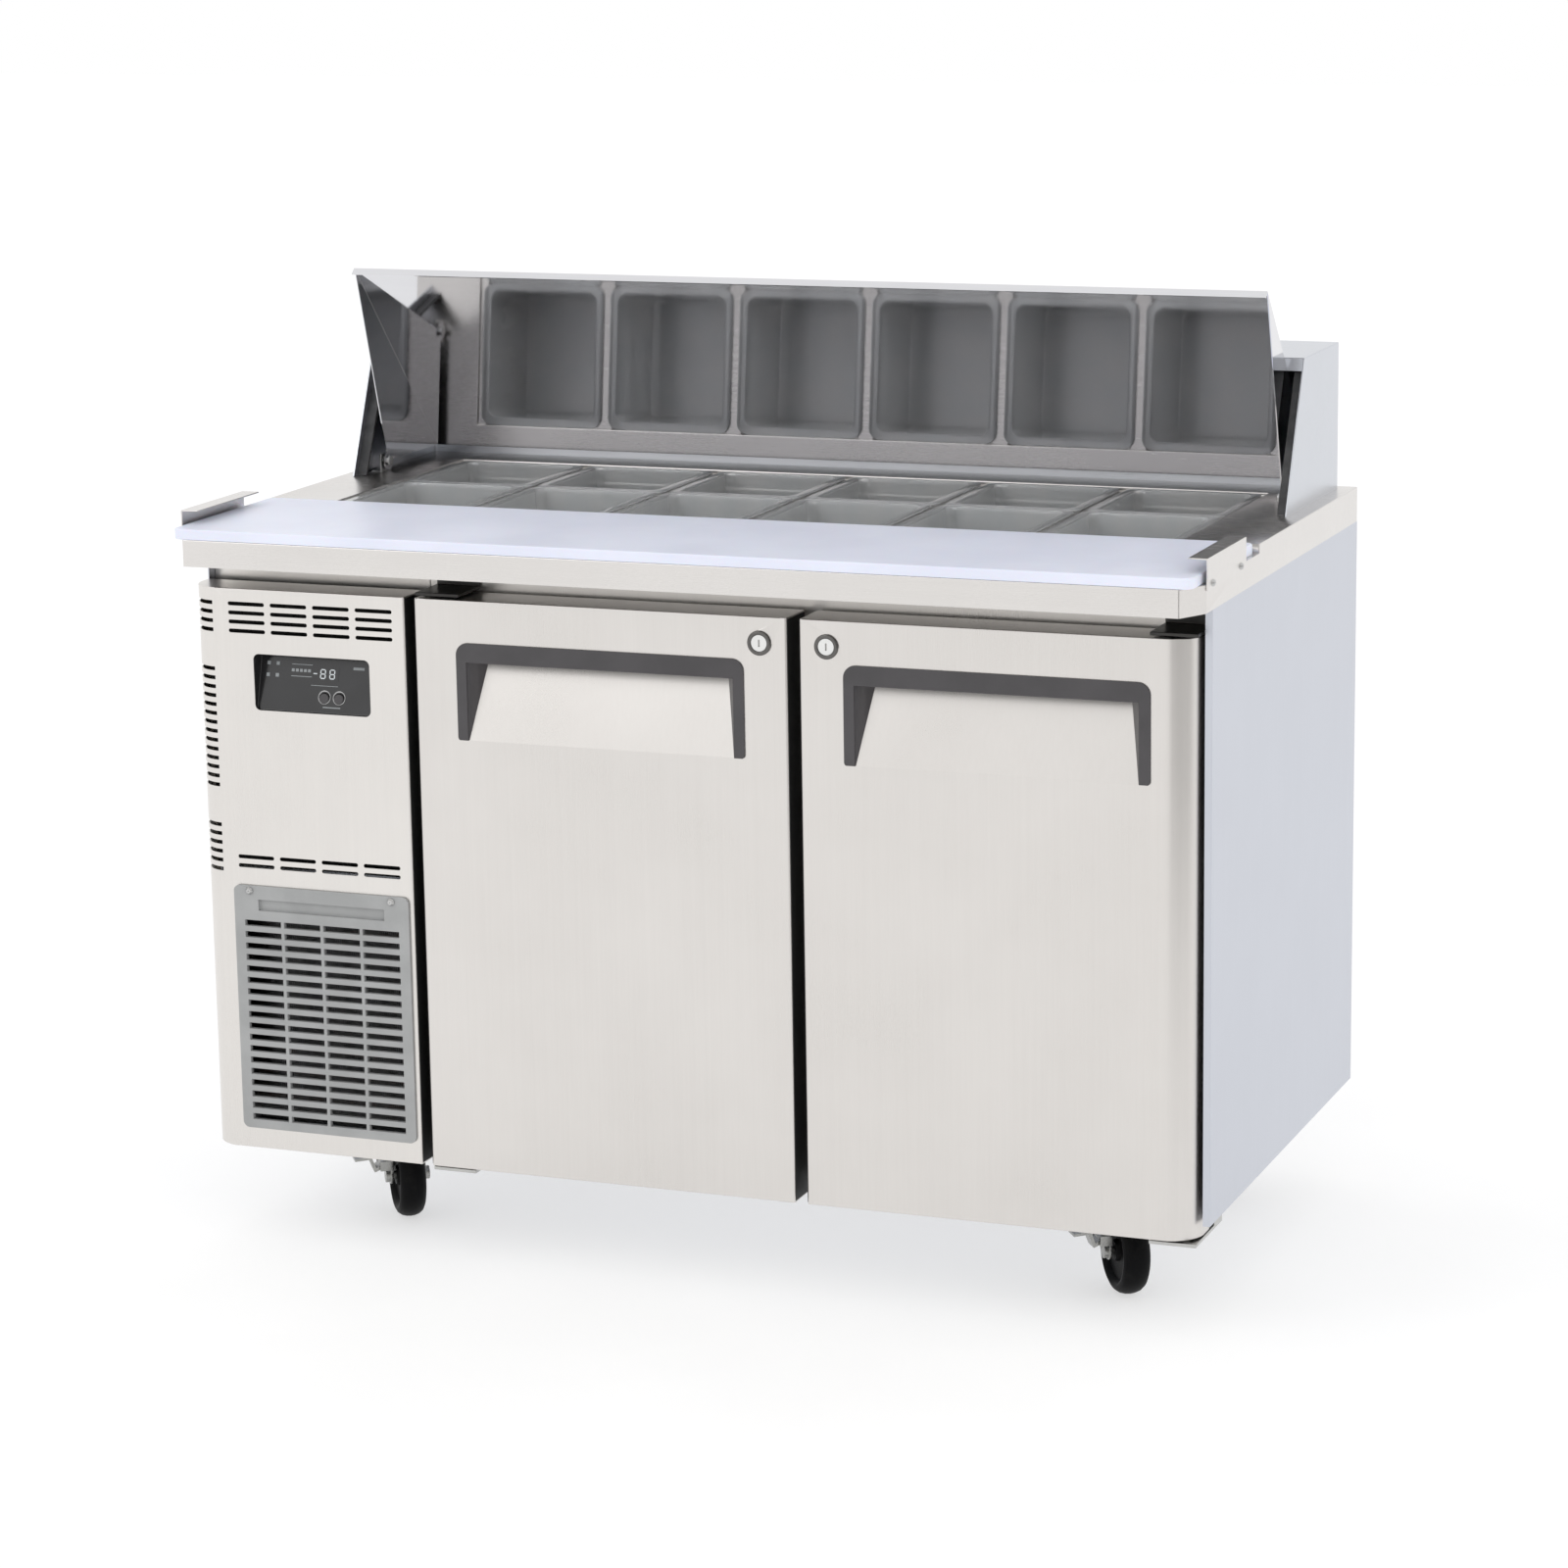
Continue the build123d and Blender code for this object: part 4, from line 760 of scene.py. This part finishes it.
# ---------------------------------------------------------------- machine bay and cold box
low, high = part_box("condenser_coil")
side = 8 * MM
fins(
    "condenser_fins",
    (low[0] + side + 0.002, low[1] + 0.001, low[2] + 0.024),
    (high[0] - side - 0.002, high[1] - 0.001, high[2] - 0.002),
    0.0024, 0, "coil_fins",
)
form = bmesh.new()
for x in (low[0] + side, high[0] - side - 0.002):
    slab(form, (x, low[1], low[2]), (x + 0.002, high[1], high[2]))
piece("condenser_plates", form, "coil_fins", "cabinet", ("condenser_coil",))
form = bmesh.new()
middle = (low[1] + high[1]) / 2
first_tube, tube_pitch = low[2] + 0.0365, 0.029
for number in range(8):
    z = first_tube + number * tube_pitch
    tube(form, [(low[0] + 0.003, middle, z), (high[0] - 0.003, middle, z)], 0.0045)
for number in range(7):
    z = first_tube + (number + 0.5) * tube_pitch
    x, out = (high[0] - 0.004, 1) if number % 2 else (low[0] + 0.004, -1)
    bend = []
    for step in range(9):
        angle = math.pi * (step / 8 - 0.5)
        bulge = out * (0.004 * math.cos(angle) - 0.002)
        bend.append((x + bulge, middle, z + tube_pitch / 2 * math.sin(angle)))
    tube(form, bend, 0.0042)
piece("condenser_tubes", form, "copper_tube", "cabinet")

low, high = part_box("evaporator_coil")
fins(
    "evaporator_fins",
    (low[0] + 0.003, low[1] + 0.002, low[2] + 0.002),
    (high[0], high[1] - 0.002, high[2] - 0.002),
    0.004, 1, "coil_fins",
)
form = bmesh.new()
for z in (low[2], high[2] - 0.002):
    slab(form, (low[0], low[1], z), (high[0], high[1], z + 0.002))
slab(form, (low[0], low[1], low[2]), (low[0] + 0.0025, high[1], high[2]))
for number in range(5):
    z = low[2] + 0.025 + number * 0.036
    tube(form, [(low[0] + 0.028, low[1] - 0.004, z), (low[0] + 0.028, high[1] + 0.004, z)], 0.0045)
piece("evaporator_plates", form, "coil_fins", "cabinet", ("evaporator_coil",))

low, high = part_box("wire_shelves")
mullion = (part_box("door_left_skin")[1][0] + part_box("door_right_skin")[0][0]) / 2
form = bmesh.new()
for number, (start, end) in enumerate(((low[0], mullion - 0.003), (mullion + 0.003, high[0]))):
    z = low[2] + 0.003
    corners = [(start + 0.003, low[1] + 0.003), (end - 0.003, low[1] + 0.003)]
    corners += [(end - 0.003, high[1] - 0.003), (start + 0.003, high[1] - 0.003)]
    for first, second in zip(corners, corners[1:] + corners[:1]):
        tube(form, [(*first, z), (*second, z)], 0.003)
    middle = (start + end) / 2
    tube(form, [(middle, low[1], z), (middle, high[1], z)], 0.0025)
    count = 24
    step = (0.0, (high[1] - low[1] - 0.012) / (count - 1), 0.0)
    begin = (middle, low[1] + 0.006, high[2] - 0.00125)
    length = end - start - 0.002
    wires(f"shelf_wires_{number}", begin, step, count, length, (0, math.pi / 2, 0), 0.00125, "coated_wire")
piece("shelf_frames", form, "coated_wire", "cabinet", ("wire_shelves",))
softened("compressor", "machine_black", "cabinet", 1.0 * MM, 2)
screws("back_screws", back_places, (-math.pi / 2, 0, 0), head_radius, 1.6 * MM)

# ---------------------------------------------------------------- everything that stays as it was built
for node, thing in nodes.items():
    thing.data.materials.clear()
    thing.data.materials.append(finishes[slot_of[node]])

# ---------------------------------------------------------------- stage, light and camera
bpy.ops.mesh.primitive_plane_add(size=40, location=(0, 0, 0))
floor = bpy.context.object
floor.name = "floor"
pale = Finish("pale_floor", Roughness=0.9, Emission_Color=(1, 1, 1, 1), Emission_Strength=0.56)
pale.mottle(pale.noise(3.0).ramp(0.3, 0.7), (0.44, 0.44, 0.44), (0.46, 0.46, 0.46))
floor.data.materials.append(pale.material)

grey = Finish("grey_card", Roughness=0.9)
grey.mottle(grey.noise(2.0).ramp(0.3, 0.7), (0.44, 0.435, 0.43), (0.48, 0.475, 0.47))
card_mesh = bpy.data.meshes.new("grey_card")
ends = ((0.75, -3.3), (3.7, -0.7))
corners = [(*ends[0], 0.0), (*ends[1], 0.0), (*ends[1], 2.4), (*ends[0], 2.4)]
card_mesh.from_pydata(corners, [], [(0, 1, 2, 3)])
card = bpy.data.objects.new("grey_card", card_mesh)
bpy.context.scene.collection.objects.link(card)
card_mesh.materials.append(grey.material)
card.visible_camera = card.visible_diffuse = card.visible_shadow = card.visible_transmission = False

world = bpy.data.worlds.new("studio")
bpy.context.scene.world = world
world.use_nodes = True
world.node_tree.nodes["Background"].inputs["Color"].default_value = (1.0, 1.0, 1.0, 1.0)
world.node_tree.nodes["Background"].inputs["Strength"].default_value = 1.0


def softbox(name, place, target, size, power):
    lamp = bpy.data.lights.new(name, "AREA")
    lamp.shape, lamp.size, lamp.energy = "SQUARE", size, power
    holder = bpy.data.objects.new(name, lamp)
    holder.location = place
    holder.rotation_euler = (Vector(target) - Vector(place)).to_track_quat("-Z", "Y").to_euler()
    bpy.context.scene.collection.objects.link(holder)


softbox("key", (-2.6, -3.4, 3.6), (0, 0, 0.6), 2.4, 26)
softbox("fill", (3.6, -2.6, 2.2), (0, 0, 0.6), 2.4, 12)

lens = bpy.data.cameras.new("camera")
lens.lens, lens.sensor_width = 103.75, 36.0
camera = bpy.data.objects.new("camera", lens)
camera.location = (1.87974, -4.75839, 1.63893)
camera.rotation_euler = Euler([math.radians(angle) for angle in (77.6273, 0.8854, 21.2712)])
bpy.context.scene.collection.objects.link(camera)
bpy.context.scene.camera = camera
bpy.context.scene.view_settings.view_transform = "Standard"
